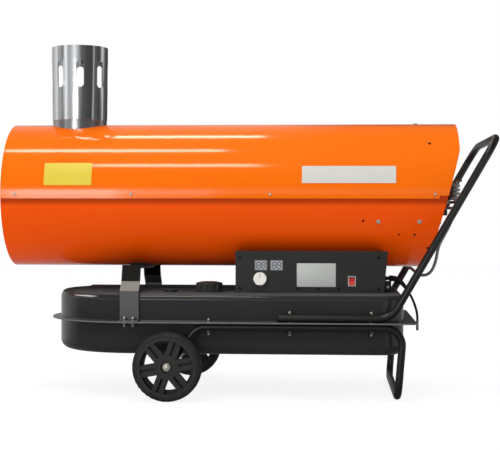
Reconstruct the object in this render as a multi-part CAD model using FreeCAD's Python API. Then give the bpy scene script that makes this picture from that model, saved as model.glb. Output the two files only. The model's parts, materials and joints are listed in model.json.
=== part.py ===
import FreeCAD, Part
import math
import os

# Indirect fired diesel air heater on a two-wheel tube frame.
# Millimetres, +Z up, +X towards the handle, hot air leaves at -X, controls face -Y.
# Origin: floor level, middle of the overall length and width.

V = FreeCAD.Vector
X, Y, Z = V(1, 0, 0), V(0, 1, 0), V(0, 0, 1)

# Fits
lap_gap = 0.3            # between nested sheets and round seats
run_gap = 0.05           # radial, shaft in its bore
screw_gap = 0.3          # radial, fastener in its hole

# Barrel casing, two half shells
casing_r = 158.0         # outside of the upper half
casing_sheet = 1.2
barrel_rise = 50.0       # barrel's lowest line above the tank top
lap_below = 9.0          # the upper half ends this far below the axis
lap_above = 12.0         # the lower half ends this far above it
rear_cut_above = 94.0    # the rear end is upright above this height over the axis
rear_cut_run = 68.0      # and this much shorter at the barrel's lowest line
rear_relief = (45.0, 6.0)  # length and height cut from the upper half's edge at the rear
seam_screws_at = (32.0, 282.0, 578.0)
seam_screw_rear = 54.0   # the last one, from the rear edge
side_screw_deg = 21.4    # below the horizontal
vent_holes_at = ((774.0, 20.9), (850.0, 32.9), (883.0, 32.9), (912.0, 46.5))
upper_hole_at = (915.0, -43.6)
vent_hole_r = 2.6
pan_head_r = 4.4
seam_head_r = 3.0
pan_head_h = 2.0
pan_shank_r = 1.9
pan_shank_len = 7.0

# Flue
flue_at = 141.0
spigot_r = 60.0
flue_sheet = 1.2
spigot_show = 9.5        # height of the ring between barrel and sleeve
spigot_inside = 22.0     # length that enters the sleeve
spigot_into_drum = 6.0
sleeve_r = 62.6          # plain top end that enters the next pipe
sleeve_end = 30.0
sleeve_low_r = 60.9      # the sleeve narrows to this at its lower edge
sleeve_len = 164.0
sleeve_slots = 8
slot_w = 16.5
slot_len = 59.0
slot_from = 71.5         # above the sleeve's lower edge
slot_turn = 11.3         # first slot from the front

# Hot air outlet and heat exchanger
outlet_band = 40.0
outlet_inset = 4.0
outlet_lip_r = 132.0
outlet_lip_run = 22.0
air_passage = 33.3       # for the heated air, between drum and lower half
drum_sheet = 1.5
drum_front = 62.0
drum_dome = 26.0
drum_len = 540.0
chamber_r = 84.0
chamber_sheet = 2.0
chamber_len = 440.0
chamber_ports = 8
chamber_port_r = 20.0
support_w = 30.0
support_t = 3.0
supports_at = (215.0, 500.0)

# Burner
burner_r = 50.0
burner_sheet = 1.5
burner_nose = 42.0       # length inside the chamber
burner_tail = 78.0       # length behind the drum
burner_flange_r = 66.0
burner_flange_t = 2.0
burner_plate_t = 3.0
air_holes = 8
air_hole_r = 11.0
swirl_back = 14.0        # disc behind the mouth of the burner tube
swirl_t = 1.5
swirl_hole_r = 13.0
swirl_slots = 8
swirl_slot_w = 5.0
nozzle_holder_r = 8.0
nozzle_tip_r = 6.0
nozzle_tip_len = 14.0
electrode_r = 4.5
electrode_wire_r = 1.2
electrode_in = 38.0      # ceramic ahead of the plate
electrode_y = 15.0
electrode_z = 22.0
sensor_r = 7.0
sensor_z = -27.0
sensor_len = 30.0

# Motor, fan and pump
motor_room = 204.0       # drum to the bracket's screws
bracket_t = 2.5
bracket_foot = 24.0
bracket_arm_w = 24.0
motor_r = 54.0
motor_len = 70.0
motor_bell = 9.0
motor_bell_r = 44.0
shaft_r = 5.0
fan_r = 140.0
fan_hub_r = 30.0
fan_hub_len = 34.0
fan_clear = 16.0         # hub to bracket
fan_blades = 6
blade_t = 1.6
blade_chord = 74.0
blade_pitch = 32.0
pump_r = 26.0
pump_len = 28.0

# Rear guard and cord hooks
guard_t = 1.5
guard_rim = 22.0
guard_room = 96.0        # bracket's screws to the guard's face
guard_screw = 10.0       # its screws ahead of the face
rear_room = 76.0         # guard's face to the casing's rear edge
guard_rows = ((40.0, 62.0), (72.0, 94.0), (104.0, 126.0))
guard_sectors = 12
guard_bar = 9.0
hook_wire_r = 3.0
hook_y = 75.0
hook_reach = 70.0        # guard face to post
hook_below = 28.0        # arm below the axis
hook_rise = 58.0
hook_lip = 14.0
hook_bend = 9.0

# Tank, two pressed shells joined at a flange
flange_z = 161.0
flange_half_w = 203.0
tank_front = 103.0
flange_nose = 18.0       # flange width at the rounded front
flange_rear = 885.0
flange_w = 25.0
flange_corner = 14.0
tank_sheet = 1.5
tank_up = 61.0           # flange plane to the top
tank_down = 69.0
tank_edge = 15.0         # pressed edge radius, top
tank_edge_low = 20.0
tank_corner = 50.0
bead_w = 12.0
bead_h = 2.2
beads = ((152.0, 337.0, -106.0), (150.0, 480.0, -37.0), (150.0, 480.0, 37.0), (152.0, 480.0, 106.0))

# Filler and gauge
filler_at = 447.0
filler_y = -130.0
neck_r = 23.0
neck_wall = 2.0
neck_h = 14.0
neck_flange_r = 28.0
neck_flange_t = 1.5
neck_drop = 8.0
strainer_len = 62.0
strainer_wall = 0.8
seal_t = 2.0
cap_r = 28.3
cap_top_t = 3.2
cap_dome = 3.0
cap_lobes = 10
cap_groove_r = 5.0
cap_groove = 2.4         # depth of a finger groove
cap_gap = 0.6            # skirt above the neck flange
gauge_at = 365.0
gauge_y = -138.0
gauge_r = 14.0
gauge_h = 5.0
gauge_plug_r = 11.4
gauge_plug_len = 8.0
gauge_lens_t = 1.6
gauge_bore_r = 9.0
gauge_pivot = 10.0       # float arm's pin below the tank top
gauge_pin_r = 1.2
cheek_t = 2.5
cheek_half_w = 9.0
cheek_drop = 25.5        # cheeks' lower end below the tank top
drum_face_r = 8.0        # indicator drum under the lens
drum_face_w = 7.0
drum_side_gap = 0.7
float_r = 10.0
float_len = 26.0
float_arm = 98.0
float_wire_r = 1.2
float_empty_deg = 72.0   # arm below the horizontal, dry tank
float_stop_at = 12.0     # stop bar along the arm

# Front saddle bracket over the tank
saddle_at = 283.0
saddle_w = 40.0
saddle_t = 2.5
saddle_wall_gap = 4.0    # tank wall to strap
saddle_lean_z = 3.0      # first bend over the tank top
saddle_lean = 19.0       # inward and upward run of the leaning band
saddle_top_half = 154.0
saddle_shoulder = 8.0    # the strap's shoulders above its middle
pad_half_y = 46.0
pad_min_t = 2.0
saddle_bolt_pitch = 18.0

# Control box under the barrel
box_at = 504.5
box_len = 313.5
panel_inset = 8.0        # panel behind the barrel's side
box_h = 88.0
box_sheet = 1.5
panel_t = 1.5
panel_rear_top = 8.0     # the panel's upper rear corner reaches this far past the box
panel_screw_r = 2.6
panel_screw_h = 1.4
panel_edge = 9.0
row_screws_at = (131.5, 175.0, 218.5)
display_at = (54.0, 87.0)
display_w = 26.6
display_h = 21.5
display_z = 58.0         # centre above the tank top
display_depth = 12.0
display_lip = 0.8
board_t = 1.6
board_margin = 6.0
knob_at = 52.5
knob_z = 29.5
knob_r = 13.9
knob_h = 15.0
knob_lobes = 6
knob_scallop_r = 7.0
knob_scallop = 1.7       # depth of a scallop
pot_r = 8.0
pot_len = 11.0
pot_bush_r = 4.5
pot_shaft_r = 3.0
knob_off = 0.6           # knob above the panel
switch_at = 246.0
switch_z = 25.0
switch_w = 16.3
switch_h = 21.5
switch_body_w = 14.0
switch_body_h = 19.2
switch_lip = 1.8
switch_depth = 18.0
rocker_w = 11.4
rocker_half = 7.8
rocker_gap = 0.4
rocker_rest_deg = 8.0
rocker_pin_r = 1.2
transformer = (70.0, 60.0, 46.0)
transformer_at = 170.0
gland_r = 8.0
gland_nut = 9.0
gland_len = 30.0
gland_tip_r = 4.6
gland_y = 95.0
gland_z = 57.0           # above the tank top
lead_gland_r = 5.0
lead_gland_len = 20.0
lead_tip_r = 3.4
lead_gland_y = -72.0
lead_gland_z = 28.0
gland_bush = 10.0
gland_bush_r = 3.8
lead_bush_r = 2.3

# Fuel lines
line_r = 3.0
line_wall = 1.0
pressure_r = 2.0
suction_at = 790.0
suction_low = 112.0      # inside run below the axis
line_bend = 18.0
pickup_r = 8.0
pickup_h = 18.0
pickup_off = 8.0
pressure_run_r = 148.5   # run along the casing wall

# Tube frame
tube_r = 8.0
tube_wall = 1.5
tube_y = 191.0
handle_overhang = 79.0   # handle past the casing's rear edge
handle_start = 597.0
handle_corner = 831.0
handle_deg = 60.0
handle_bend = 50.0
handle_top_bend = 45.0
frame_front = 427.0
frame_rear = 857.0
leg_lean = 12.0
leg_bend = 36.0
foot_bend = 32.0
axle_past = 13.0         # tube end past the axle
bolt_r = 3.0
bolt_head_r = 5.6
bolt_head_h = 4.0
frame_bolts_at = (451.0, 621.0, 790.0)

# Wheels and axle
axle_at = 369.0
axle_r = 5.0
wheel_r = 72.0
wheel_w = 40.0
wheel_gap = 7.0          # frame tube to wheel hub
tyre_depth = 12.0
tyre_shoulder = 6.0
tread_grooves = 36
tread_w = 4.5
tread_depth = 2.0
rim_band = 10.0
window_band = 5.0        # rim outside the windows
hub_r = 20.0
hub_recess_r = 11.5
hub_recess = 11.0
disc_t = 14.0
disc_inset = 3.0
spokes = 6
spoke_turn = 20.0        # first spoke from upright
spoke_w = 25.0
spoke_slot_w = 5.0
spoke_slot_from = 25.0   # from the wheel's centre
spoke_slot_len = 29.0
spoke_slot_depth = 9.0
axle_nut_r = 7.6
axle_nut_h = 7.0
washer_r = 8.2
washer_t = 1.6

# Cords
cord_d = 7.0
wind_r = 7.0             # centre line of the fold round a post
wind_turns = 4
wind_pitch = 8.4
wind_z = -13.6           # lowest turn against the axis
wind_start_y = -4.0      # the cord joins the rear run here
wind_end_y = 48.0        # and leaves the front run here
lead_d = 5.4
probe_r = 3.0
probe_len = 22.0
plug_r = 17.0
plug_body = 26.0
plug_neck_r = 6.5
plug_neck = 10.0
plug_pin_r = 2.4
plug_pin_len = 19.0
plug_pin_y = 9.5

# Derived places
bracket_at = drum_front + drum_len + motor_room
guard_at = bracket_at + guard_room
casing_len = guard_at + rear_room
overall = casing_len + handle_overhang
front_x = -overall / 2
rear_x = front_x + casing_len
upper_in = casing_r - casing_sheet
lower_out = upper_in - lap_gap
lower_in = lower_out - casing_sheet
drum_r = lower_in - air_passage
tank_top = flange_z + tank_up
tank_low = flange_z - tank_down
axis_z = tank_top + barrel_rise + casing_r
flange_top = flange_z + tank_sheet
flange_low = flange_z - tank_sheet
drum_back = front_x + drum_front + drum_len
bracket_x = front_x + bracket_at - bracket_foot / 2
motor_x = bracket_x + bracket_t
pump_x = motor_x + motor_len
guard_x = front_x + guard_at
box_x = front_x + box_at
box_end = box_x + box_len
box_front_y = panel_inset - casing_r
panel_back = box_front_y + panel_t
handle_z = flange_top + tube_r
frame_z = flange_low - tube_r
axle_x = front_x + axle_at
axle_z = wheel_r
hub_in = tube_y + tube_r + wheel_gap
post_x = guard_x + guard_t + hook_reach
wheel_out = hub_in + wheel_w


def at(x, y, z):
    return V(front_x + x, y, z)


def rod(r, start, axis, length):
    return Part.makeCylinder(r, length, start, axis)


def pipe(r_out, r_in, start, axis, length):
    return rod(r_out, start, axis, length).cut(rod(r_in, start, axis, length))


def block(x0, x1, y0, y1, z0, z1):
    return Part.makeBox(x1 - x0, y1 - y0, z1 - z0, V(x0, y0, z0))


def prism(points, along):
    return Part.Face(Part.makePolygon(points + points[:1])).extrude(along)


def spun(profile, base, axis):
    return Part.Face(Part.makePolygon(profile + profile[:1])).revolve(base, axis, 360)


def hexagon(r, start, axis, length):
    side = axis.cross(Z) if abs(axis.z) < 0.9 else V(1, 0, 0)
    side.normalize()
    up = axis.cross(side)
    points = []
    for i in range(6):
        a = math.radians(60 * i)
        points.append(start + side * (r * math.cos(a)) + up * (r * math.sin(a)))
    return prism(points, axis * length)


def turned(shape, base, axis, degrees):
    copy = shape.copy()
    copy.rotate(base, axis, degrees)
    return copy


def mirror_y(shape):
    return shape.mirror(V(0, 0, 0), Y)


def bent_path(points, radii):
    edges = []
    start = points[0]
    for i in range(1, len(points) - 1):
        corner = points[i]
        back = points[i - 1].sub(corner)
        ahead = points[i + 1].sub(corner)
        back.normalize()
        ahead.normalize()
        half = (math.pi - back.getAngle(ahead)) / 2
        cut = radii[i - 1] * math.tan(half)
        inward = back + ahead
        inward.normalize()
        middle = corner + inward * (radii[i - 1] / math.cos(half) - radii[i - 1])
        edges.append(Part.LineSegment(start, corner + back * cut).toShape())
        edges.append(Part.Arc(corner + back * cut, middle, corner + ahead * cut).toShape())
        start = corner + ahead * cut
    edges.append(Part.LineSegment(start, points[-1]).toShape())
    return edges


def disc(r, edge):
    start = edge.valueAt(edge.FirstParameter)
    heading = edge.tangentAt(edge.FirstParameter)
    ring = Part.Circle(start, heading, r).toShape()
    # the seam is turned away from the drilled holes
    ring.rotate(start, heading, 33)
    return Part.Face(Part.Wire(ring))


def swept(edges, r, bore=0):
    pieces = []
    for edge in edges:
        section = disc(r, edge)
        if bore > 0:
            section = section.cut(disc(bore, edge)).Faces[0]
        curve = edge.Curve
        if edge.Curve.TypeId == "Part::GeomCircle":
            angle = math.degrees(edge.Length / curve.Radius)
            pieces.append(section.revolve(curve.Center, curve.Axis, angle))
        else:
            run = edge.valueAt(edge.LastParameter).sub(edge.valueAt(edge.FirstParameter))
            pieces.append(section.extrude(run))
    return pieces[0].fuse(pieces[1:]).removeSplitter()


def bent_tube(points, radii, r, wall):
    return swept(bent_path(points, radii), r, r - wall)


def on_barrel(x, degrees_down, r, side=-1):
    a = math.radians(degrees_down)
    return at(x, side * r * math.cos(a), axis_z - r * math.sin(a))


def radial(degrees_down, side=-1):
    a = math.radians(degrees_down)
    return V(0, side * math.cos(a), -math.sin(a))


def pan_screw(seat, outward, head_r=pan_head_r, head_h=pan_head_h, shank=pan_shank_len):
    return rod(head_r, seat, outward, head_h).fuse(rod(pan_shank_r, seat, outward * -1, shank))


nodes = {}


def keep(name, shape):
    nodes[name] = shape


# Casing

def rear_wedge():
    low = axis_z - casing_r
    high = axis_z + rear_cut_above
    lean = rear_cut_run / (high - low)
    below = 20.0
    points = [
        V(rear_x, -2 * casing_r, high),
        V(rear_x - rear_cut_run - lean * below, -2 * casing_r, low - below),
        V(rear_x + below, -2 * casing_r, low - below),
        V(rear_x + below, -2 * casing_r, high),
    ]
    return prism(points, Y * (4 * casing_r))


def casing_screw_places():
    places = []
    for side in (-1, 1):
        for x in seam_screws_at + (casing_len - seam_screw_rear,):
            places.append((on_barrel(x, 0, casing_r + 0.05, side), radial(0, side), seam_head_r))
        for x in (bracket_at, guard_at - guard_screw):
            seat = on_barrel(x, side_screw_deg, lower_out + 0.05, side)
            places.append((seat, radial(side_screw_deg, side), pan_head_r))
    places.append((at(guard_at - guard_screw, 0, axis_z + casing_r + 0.05), Z, pan_head_r))
    return places


def screw_holes(length):
    holes = []
    for seat, outward, head_r in casing_screw_places():
        holes.append(rod(pan_shank_r + screw_gap, seat + outward * 3, outward * -1, length))
    return holes


def casing_half(r_out, r_in, z0, z1):
    start = V(front_x, 0, axis_z)
    shell = pipe(r_out, r_in, start, X, casing_len)
    band = block(front_x - 1, rear_x + 1, -casing_r - 1, casing_r + 1, z0, z1)
    return shell.common(band).cut(rear_wedge())


def make_casing():
    upper = casing_half(casing_r, upper_in, axis_z - lap_below, axis_z + casing_r + 1)
    flue_hole = rod(spigot_r + lap_gap, at(flue_at, 0, axis_z), Z, 2 * casing_r)
    x, deg = upper_hole_at
    vents = [rod(vent_hole_r, on_barrel(x, deg, upper_in - 4, side), radial(deg, side), 10) for side in (-1, 1)]
    run, rise = rear_relief
    relief = block(rear_x - run, rear_x + 1, -casing_r - 1, casing_r + 1, axis_z - lap_below - 1,
                   axis_z - lap_below + rise)
    keep("upper_casing", upper.cut(screw_holes(12.0) + vents + [flue_hole, relief]))
    lower = casing_half(lower_out, lower_in, axis_z - casing_r - 1, axis_z + lap_above)
    vents = []
    for side in (-1, 1):
        for x, deg in vent_holes_at:
            vents.append(rod(vent_hole_r, on_barrel(x, deg, lower_in - 4, side), radial(deg, side), 10))
    line_hole = rod(line_r + 1, at(suction_at, 0, axis_z), -Z, 2 * casing_r)
    keep("lower_casing", lower.cut(screw_holes(12.0) + vents + [line_hole]))


# Flue

def make_flue():
    top = axis_z + casing_r + spigot_show
    low = axis_z + drum_r - spigot_into_drum
    r, s = spigot_r, flue_sheet
    ring_r = sleeve_low_r - 0.4
    neck = sleeve_low_r - s - lap_gap
    high = top + spigot_inside
    profile = [
        (r - s, low), (r, low), (r, top - s), (ring_r, top - s), (ring_r, top), (neck, top), (neck, high),
        (neck - s, high), (neck - s, top - s), (r - s, top - 2 * s),
    ]
    points = [at(flue_at + a, 0, z) for a, z in profile]
    keep("flue_spigot", spun(points, at(flue_at, 0, 0), Z))
    base = at(flue_at, 0, top)
    end = sleeve_len - sleeve_end
    profile = [
        (sleeve_low_r - s, 0), (sleeve_low_r, 0), (sleeve_r, end), (sleeve_r, sleeve_len),
        (sleeve_r - s, sleeve_len), (sleeve_r - s, end),
    ]
    sleeve = spun([base + V(a, 0, z) for a, z in profile], base, Z)
    half = slot_w / 2
    low_end = top + slot_from + half
    slot = block(front_x + flue_at - half, front_x + flue_at + half, -sleeve_r - 2, -sleeve_r / 2,
                 low_end, low_end + slot_len - slot_w)
    for z in (low_end, low_end + slot_len - slot_w):
        slot = slot.fuse(rod(half, at(flue_at, -sleeve_r - 2, z), Y, sleeve_r / 2 + 2))
    slot = slot.removeSplitter()
    slots = [turned(slot, base, Z, 360.0 / sleeve_slots * i + slot_turn) for i in range(sleeve_slots)]
    keep("flue_sleeve", sleeve.cut(slots))


# Heat exchanger

def make_outlet():
    r = lower_in - lap_gap
    s = casing_sheet
    x0, x1 = outlet_inset, outlet_inset + outlet_band
    profile = [
        (x1, r - s), (x1, r), (x0 + outlet_lip_run, r), (x0, outlet_lip_r + s), (x0, outlet_lip_r),
        (x0 + outlet_lip_run + 0.6, r - s),
    ]
    points = [at(x, 0, axis_z + q) for x, q in profile]
    ring = spun(points, V(0, 0, axis_z), X)
    keep("outlet_ring", ring.cut(screw_holes(14.0)))


def drum_shell(x0, length, r, sheet, dome):
    x1 = x0 + length
    outer = [
        (x0, 0), (x0, r * 0.45), (x0 + dome * 0.35, r * 0.8), (x0 + dome, r), (x1, r),
        (x1, r - sheet), (x0 + dome + sheet * 0.4, r - sheet), (x0 + dome * 0.35 + sheet, r * 0.8 - sheet),
        (x0 + sheet, r * 0.45 - sheet), (x0 + sheet, 0),
    ]
    points = [at(x, 0, axis_z + q) for x, q in outer]
    return spun(points, V(0, 0, axis_z), X)


def make_drum():
    axis = V(0, 0, axis_z)
    shell = drum_shell(drum_front, drum_len, drum_r, drum_sheet, drum_dome)
    hole = burner_r + lap_gap
    back = pipe(drum_r - drum_sheet, hole, V(drum_back - drum_sheet, 0, axis_z), X, drum_sheet)
    flue_hole = rod(spigot_r + lap_gap, at(flue_at, 0, axis_z), Z, 2 * drum_r)
    keep("heat_exchanger_drum", shell.fuse(back).removeSplitter().cut(flue_hole))
    seat = drum_back - drum_sheet
    start = seat - chamber_len
    tube = pipe(chamber_r, chamber_r - chamber_sheet, V(start, 0, axis_z), X, chamber_len)
    front = rod(chamber_r - chamber_sheet, V(start, 0, axis_z), X, chamber_sheet)
    ports = []
    for i in range(chamber_ports):
        port = rod(chamber_port_r, V(seat - 2 * chamber_port_r - burner_nose, 0, axis_z), Z, 2 * chamber_r)
        ports.append(turned(port, axis, X, 360.0 / chamber_ports * (i + 0.5)))
    keep("combustion_chamber", tube.fuse(front).removeSplitter().cut(ports))
    bars = []
    for x in supports_at:
        for deg in (45, 135, 225, 315):
            bar = block(front_x + x, front_x + x + support_w, -support_t / 2, support_t / 2,
                        axis_z + drum_r + 0.1, axis_z + lower_in - lap_gap)
            bars.append(turned(bar, axis, X, deg))
    keep("drum_supports", Part.Compound(bars))


def make_burner():
    axis = V(0, 0, axis_z)
    nose = drum_back - burner_nose
    tail = drum_back + burner_tail
    tube = pipe(burner_r, burner_r - burner_sheet, V(nose, 0, axis_z), X, tail - nose)
    flange = pipe(burner_flange_r, burner_r - burner_sheet, V(drum_back, 0, axis_z), X, burner_flange_t)
    holes = []
    for i in range(air_holes):
        hole = rod(air_hole_r, V(drum_back + burner_tail * 0.55, 0, axis_z), Z, 2 * burner_r)
        holes.append(turned(hole, axis, X, 360.0 / air_holes * i))
    keep("burner_tube", tube.fuse(flange).removeSplitter().cut(holes))
    inner = burner_r - burner_sheet - lap_gap
    plate_x = tail - burner_plate_t
    plate = rod(inner, V(plate_x, 0, axis_z), X, burner_plate_t)
    cuts = [rod(nozzle_holder_r + run_gap, V(plate_x, 0, axis_z), X, burner_plate_t)]
    for side in (-1, 1):
        start = V(plate_x, side * electrode_y, axis_z + electrode_z)
        cuts.append(rod(electrode_r + run_gap, start, X, burner_plate_t))
    cuts.append(rod(sensor_r + run_gap, V(plate_x, 0, axis_z + sensor_z), X, burner_plate_t))
    keep("burner_plate", plate.cut(cuts))
    disc = rod(inner, V(nose + swirl_back, 0, axis_z), X, swirl_t)
    cuts = [rod(swirl_hole_r, V(nose + swirl_back, 0, axis_z), X, swirl_t)]
    for i in range(swirl_slots):
        slot = block(nose + swirl_back, nose + swirl_back + swirl_t, -swirl_slot_w / 2, swirl_slot_w / 2,
                     axis_z + swirl_hole_r + 5, axis_z + inner - 7)
        cuts.append(turned(slot, axis, X, 360.0 / swirl_slots * (i + 0.5)))
    keep("swirl_disc", disc.cut(cuts))
    tip_x = nose + swirl_back + swirl_t + 4
    holder_x = tip_x + nozzle_tip_len
    holder_end = tail + 12
    profile = [
        (tip_x, 0), (tip_x, 2), (tip_x + 3, nozzle_tip_r), (holder_x, nozzle_tip_r),
        (holder_x, nozzle_holder_r), (holder_end, nozzle_holder_r), (holder_end, 0),
    ]
    keep("nozzle", spun([V(x, 0, axis_z + q) for x, q in profile], axis, X))
    rods = []
    for side in (-1, 1):
        base = V(tail + 14, side * electrode_y, axis_z + electrode_z)
        stick = rod(electrode_r, base, -X, 14 + burner_plate_t + electrode_in)
        wire = rod(electrode_wire_r, base, -X, tail + 14 - tip_x + 1)
        rods.append(stick.fuse(wire))
    rods.append(rod(sensor_r, V(plate_x - 3, 0, axis_z + sensor_z), X, sensor_len))
    keep("ignition_electrodes", Part.Compound(rods))


# Motor group

def make_motor():
    axis = V(0, 0, axis_z)
    foot_r = lower_in - lap_gap
    arm_end = foot_r - bracket_t / 2
    ring = rod(motor_r, V(bracket_x, 0, axis_z), X, bracket_t)
    feet = rod(foot_r, V(bracket_x, 0, axis_z), X, bracket_foot)
    feet = feet.cut(rod(foot_r - bracket_t, V(bracket_x, 0, axis_z), X, bracket_foot))
    arms = []
    for turn in (0, 90 + side_screw_deg, -90 - side_screw_deg):
        arm = block(bracket_x, bracket_x + bracket_t, -bracket_arm_w / 2, bracket_arm_w / 2,
                    axis_z, axis_z + arm_end)
        foot = feet.common(block(bracket_x, bracket_x + bracket_foot, -bracket_arm_w / 2,
                                 bracket_arm_w / 2, axis_z, axis_z + casing_r))
        arms.append(turned(arm.fuse(foot), axis, X, turn))
    bracket = ring.fuse(arms).removeSplitter()
    cuts = [rod(motor_bell_r + lap_gap, V(bracket_x, 0, axis_z), X, bracket_t)]
    keep("motor_bracket", bracket.cut(cuts + screw_holes(16.0)))
    x0, x1 = motor_x, motor_x + motor_len
    profile = [
        (x0 - bracket_t, shaft_r + run_gap), (x0 - bracket_t, motor_bell_r), (x0, motor_bell_r),
        (x0, motor_r), (x1 - motor_bell, motor_r), (x1, motor_bell_r), (x1, shaft_r + run_gap),
    ]
    keep("motor", spun([V(x, 0, axis_z + q) for x, q in profile], axis, X))
    hub_x = bracket_x - fan_clear - fan_hub_len
    shaft = rod(shaft_r, V(hub_x, 0, axis_z), X, pump_x + pump_len * 0.6 - hub_x)
    keep("fan_shaft", shaft)
    hub = pipe(fan_hub_r, shaft_r + run_gap, V(hub_x, 0, axis_z), X, fan_hub_len)
    blades = []
    for i in range(fan_blades):
        root = fan_hub_r - 4
        outline = [
            (-0.26, root), (0.26, root), (0.55, fan_r * 0.82), (0.42, fan_r * 1.05), (-0.5, fan_r * 1.05),
            (-0.42, fan_r * 0.7),
        ]
        points = [V(blade_chord * a, -blade_t / 2, r) for a, r in outline]
        blade = prism(points, Y * blade_t)
        blade.rotate(V(0, 0, 0), Z, 90 - blade_pitch)
        blade.translate(V(hub_x + fan_hub_len / 2, 0, axis_z))
        blades.append(turned(blade, axis, X, 360.0 / fan_blades * i))
    disc = rod(fan_r, V(hub_x - blade_chord, 0, axis_z), X, 3 * blade_chord)
    bore = rod(shaft_r + run_gap, V(hub_x - 1, 0, axis_z), X, fan_hub_len + 2)
    fan = hub.fuse([b.common(disc) for b in blades]).removeSplitter().cut(bore)
    keep("fan_blades", fan)
    body = rod(pump_r, V(pump_x, 0, axis_z), X, pump_len)
    bore = rod(shaft_r + run_gap, V(pump_x, 0, axis_z), X, pump_len * 0.6 + 1)
    fitting = rod(line_r + 4, V(pump_x + pump_len / 2, 0, axis_z), -Z, pump_r + 6)
    keep("fuel_pump", body.fuse(fitting).cut(bore))


def make_guard():
    rim_r = lower_in - lap_gap
    rim = pipe(rim_r, rim_r - guard_t, V(guard_x - guard_rim, 0, axis_z), X, guard_rim)
    plate = rod(rim_r, V(guard_x, 0, axis_z), X, guard_t)
    cuts = []
    for r0, r1 in guard_rows:
        ring = pipe(r1, r0, V(guard_x - 1, 0, axis_z), X, guard_t + 2)
        bars = []
        for i in range(guard_sectors):
            bar = block(guard_x - 2, guard_x + guard_t + 2, -guard_bar / 2, guard_bar / 2,
                        axis_z, axis_z + casing_r)
            bars.append(turned(bar, V(0, 0, axis_z), X, 360.0 / guard_sectors * i))
        cuts.append(ring.cut(bars))
    guard = rim.fuse(plate).removeSplitter().cut(cuts)
    keep("rear_guard", guard.cut(screw_holes(14.0)))
    hooks = []
    for side in (-1, 1):
        y = side * hook_y
        z = axis_z - hook_below
        points = [
            V(guard_x + guard_t, y, z), V(post_x, y, z), V(post_x, y, z + hook_rise),
            V(post_x + hook_lip, y, z + hook_rise + 2),
        ]
        hooks.append(swept(bent_path(points, [hook_bend, hook_bend]), hook_wire_r))
    keep("cord_hooks", Part.Compound(hooks))


# Tank

def tank_face(grow, z, corner):
    half = flange_half_w - flange_w + grow
    x0 = front_x + tank_front - min(grow, flange_nose)
    x1 = front_x + flange_rear - flange_w + grow
    nose = x0 + half
    c = corner
    k = c * math.sqrt(0.5)
    edges = [
        Part.Arc(V(nose, half, z), V(x0, 0, z), V(nose, -half, z)).toShape(),
        Part.LineSegment(V(nose, -half, z), V(x1 - c, -half, z)).toShape(),
        Part.Arc(V(x1 - c, -half, z), V(x1 - c + k, -half + c - k, z), V(x1, -half + c, z)).toShape(),
        Part.LineSegment(V(x1, -half + c, z), V(x1, half - c, z)).toShape(),
        Part.Arc(V(x1, half - c, z), V(x1 - c + k, half - c + k, z), V(x1 - c, half, z)).toShape(),
        Part.LineSegment(V(x1 - c, half, z), V(nose, half, z)).toShape(),
    ]
    return Part.Face(Part.Wire(edges))


def pressed(grow, depth, edge, corner, up):
    body = tank_face(grow, flange_z, corner).extrude(Z * (depth * up))
    rim = [e for e in body.Edges if all(abs(v.Z - flange_z - depth * up) < 0.01 for v in e.Vertexes)]
    return body.makeFillet(edge, rim)


def tank_shell(depth, edge, up):
    s = tank_sheet
    outer = pressed(0, depth, edge, tank_corner, up)
    inner = pressed(-s, depth - s, edge - s, tank_corner - s, up)
    plate = tank_face(flange_w, flange_z, flange_corner).extrude(Z * (s * up))
    plate = plate.cut(tank_face(-s, flange_z, tank_corner - s).extrude(Z * (s * up)))
    return outer.cut(inner).fuse(plate).removeSplitter()


def flange_bolt_places():
    places = []
    for side in (-1, 1):
        for i, x in enumerate(frame_bolts_at):
            top = handle_z + tube_r if x > handle_start else flange_top
            places.append((front_x + x, side * tube_y, top, frame_z - tube_r))
    return places


def saddle_bolt_places():
    wall = flange_half_w - flange_w
    y = (wall + saddle_wall_gap + saddle_t + flange_half_w) / 2
    places = []
    for side in (-1, 1):
        for step in (-0.5, 0.5):
            x = front_x + saddle_at + step * saddle_bolt_pitch
            places.append((x, side * y, flange_top + saddle_t, flange_low))
    return places


def bolt_holes():
    holes = []
    for x, y, top, low in flange_bolt_places() + saddle_bolt_places():
        holes.append(rod(bolt_r + screw_gap, V(x, y, low - 5), Z, top - low + 10))
    return holes


def bolt(x, y, top, low):
    gap = 0.1
    head = hexagon(bolt_head_r, V(x, y, top + gap), Z, bolt_head_h)
    nut = hexagon(bolt_head_r, V(x, y, low - gap), -Z, bolt_head_h)
    shank = rod(bolt_r, V(x, y, low - gap - bolt_head_h - 1.5), Z, top - low + bolt_head_h + 2)
    return head.fuse([nut, shank])


def bead(x0, x1, y):
    r = (bead_w * bead_w / 4 + bead_h * bead_h) / (2 * bead_h)
    drop = tank_top + bead_h - r
    a = front_x + x0
    b = front_x + x1
    bar = rod(r, V(a, y, drop), X, b - a)
    for end in (a, b):
        bar = bar.fuse(Part.makeSphere(r, V(end, y, drop)))
    return bar.common(block(a - r, b + r, y - r, y + r, tank_top - 0.5, tank_top + r))


def make_tank():
    upper = tank_shell(tank_up, tank_edge, 1)
    upper = upper.fuse([bead(*b) for b in beads]).removeSplitter()
    low = flange_z - 5
    high = tank_up + 20
    cuts = bolt_holes()
    cuts.append(rod(neck_r + screw_gap, at(filler_at, filler_y, low), Z, high))
    cuts.append(rod(gauge_plug_r + screw_gap, at(gauge_at, gauge_y, low), Z, high))
    cuts.append(rod(line_r + screw_gap, at(suction_at, 0, low), Z, high))
    keep("tank_upper_shell", upper.cut(cuts))
    lower = tank_shell(tank_down, tank_edge_low, -1)
    keep("tank_lower_shell", lower.cut(bolt_holes()))
    bolts = [bolt(*place) for place in flange_bolt_places() + saddle_bolt_places()]
    keep("frame_bolts", Part.Compound(bolts))


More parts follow.
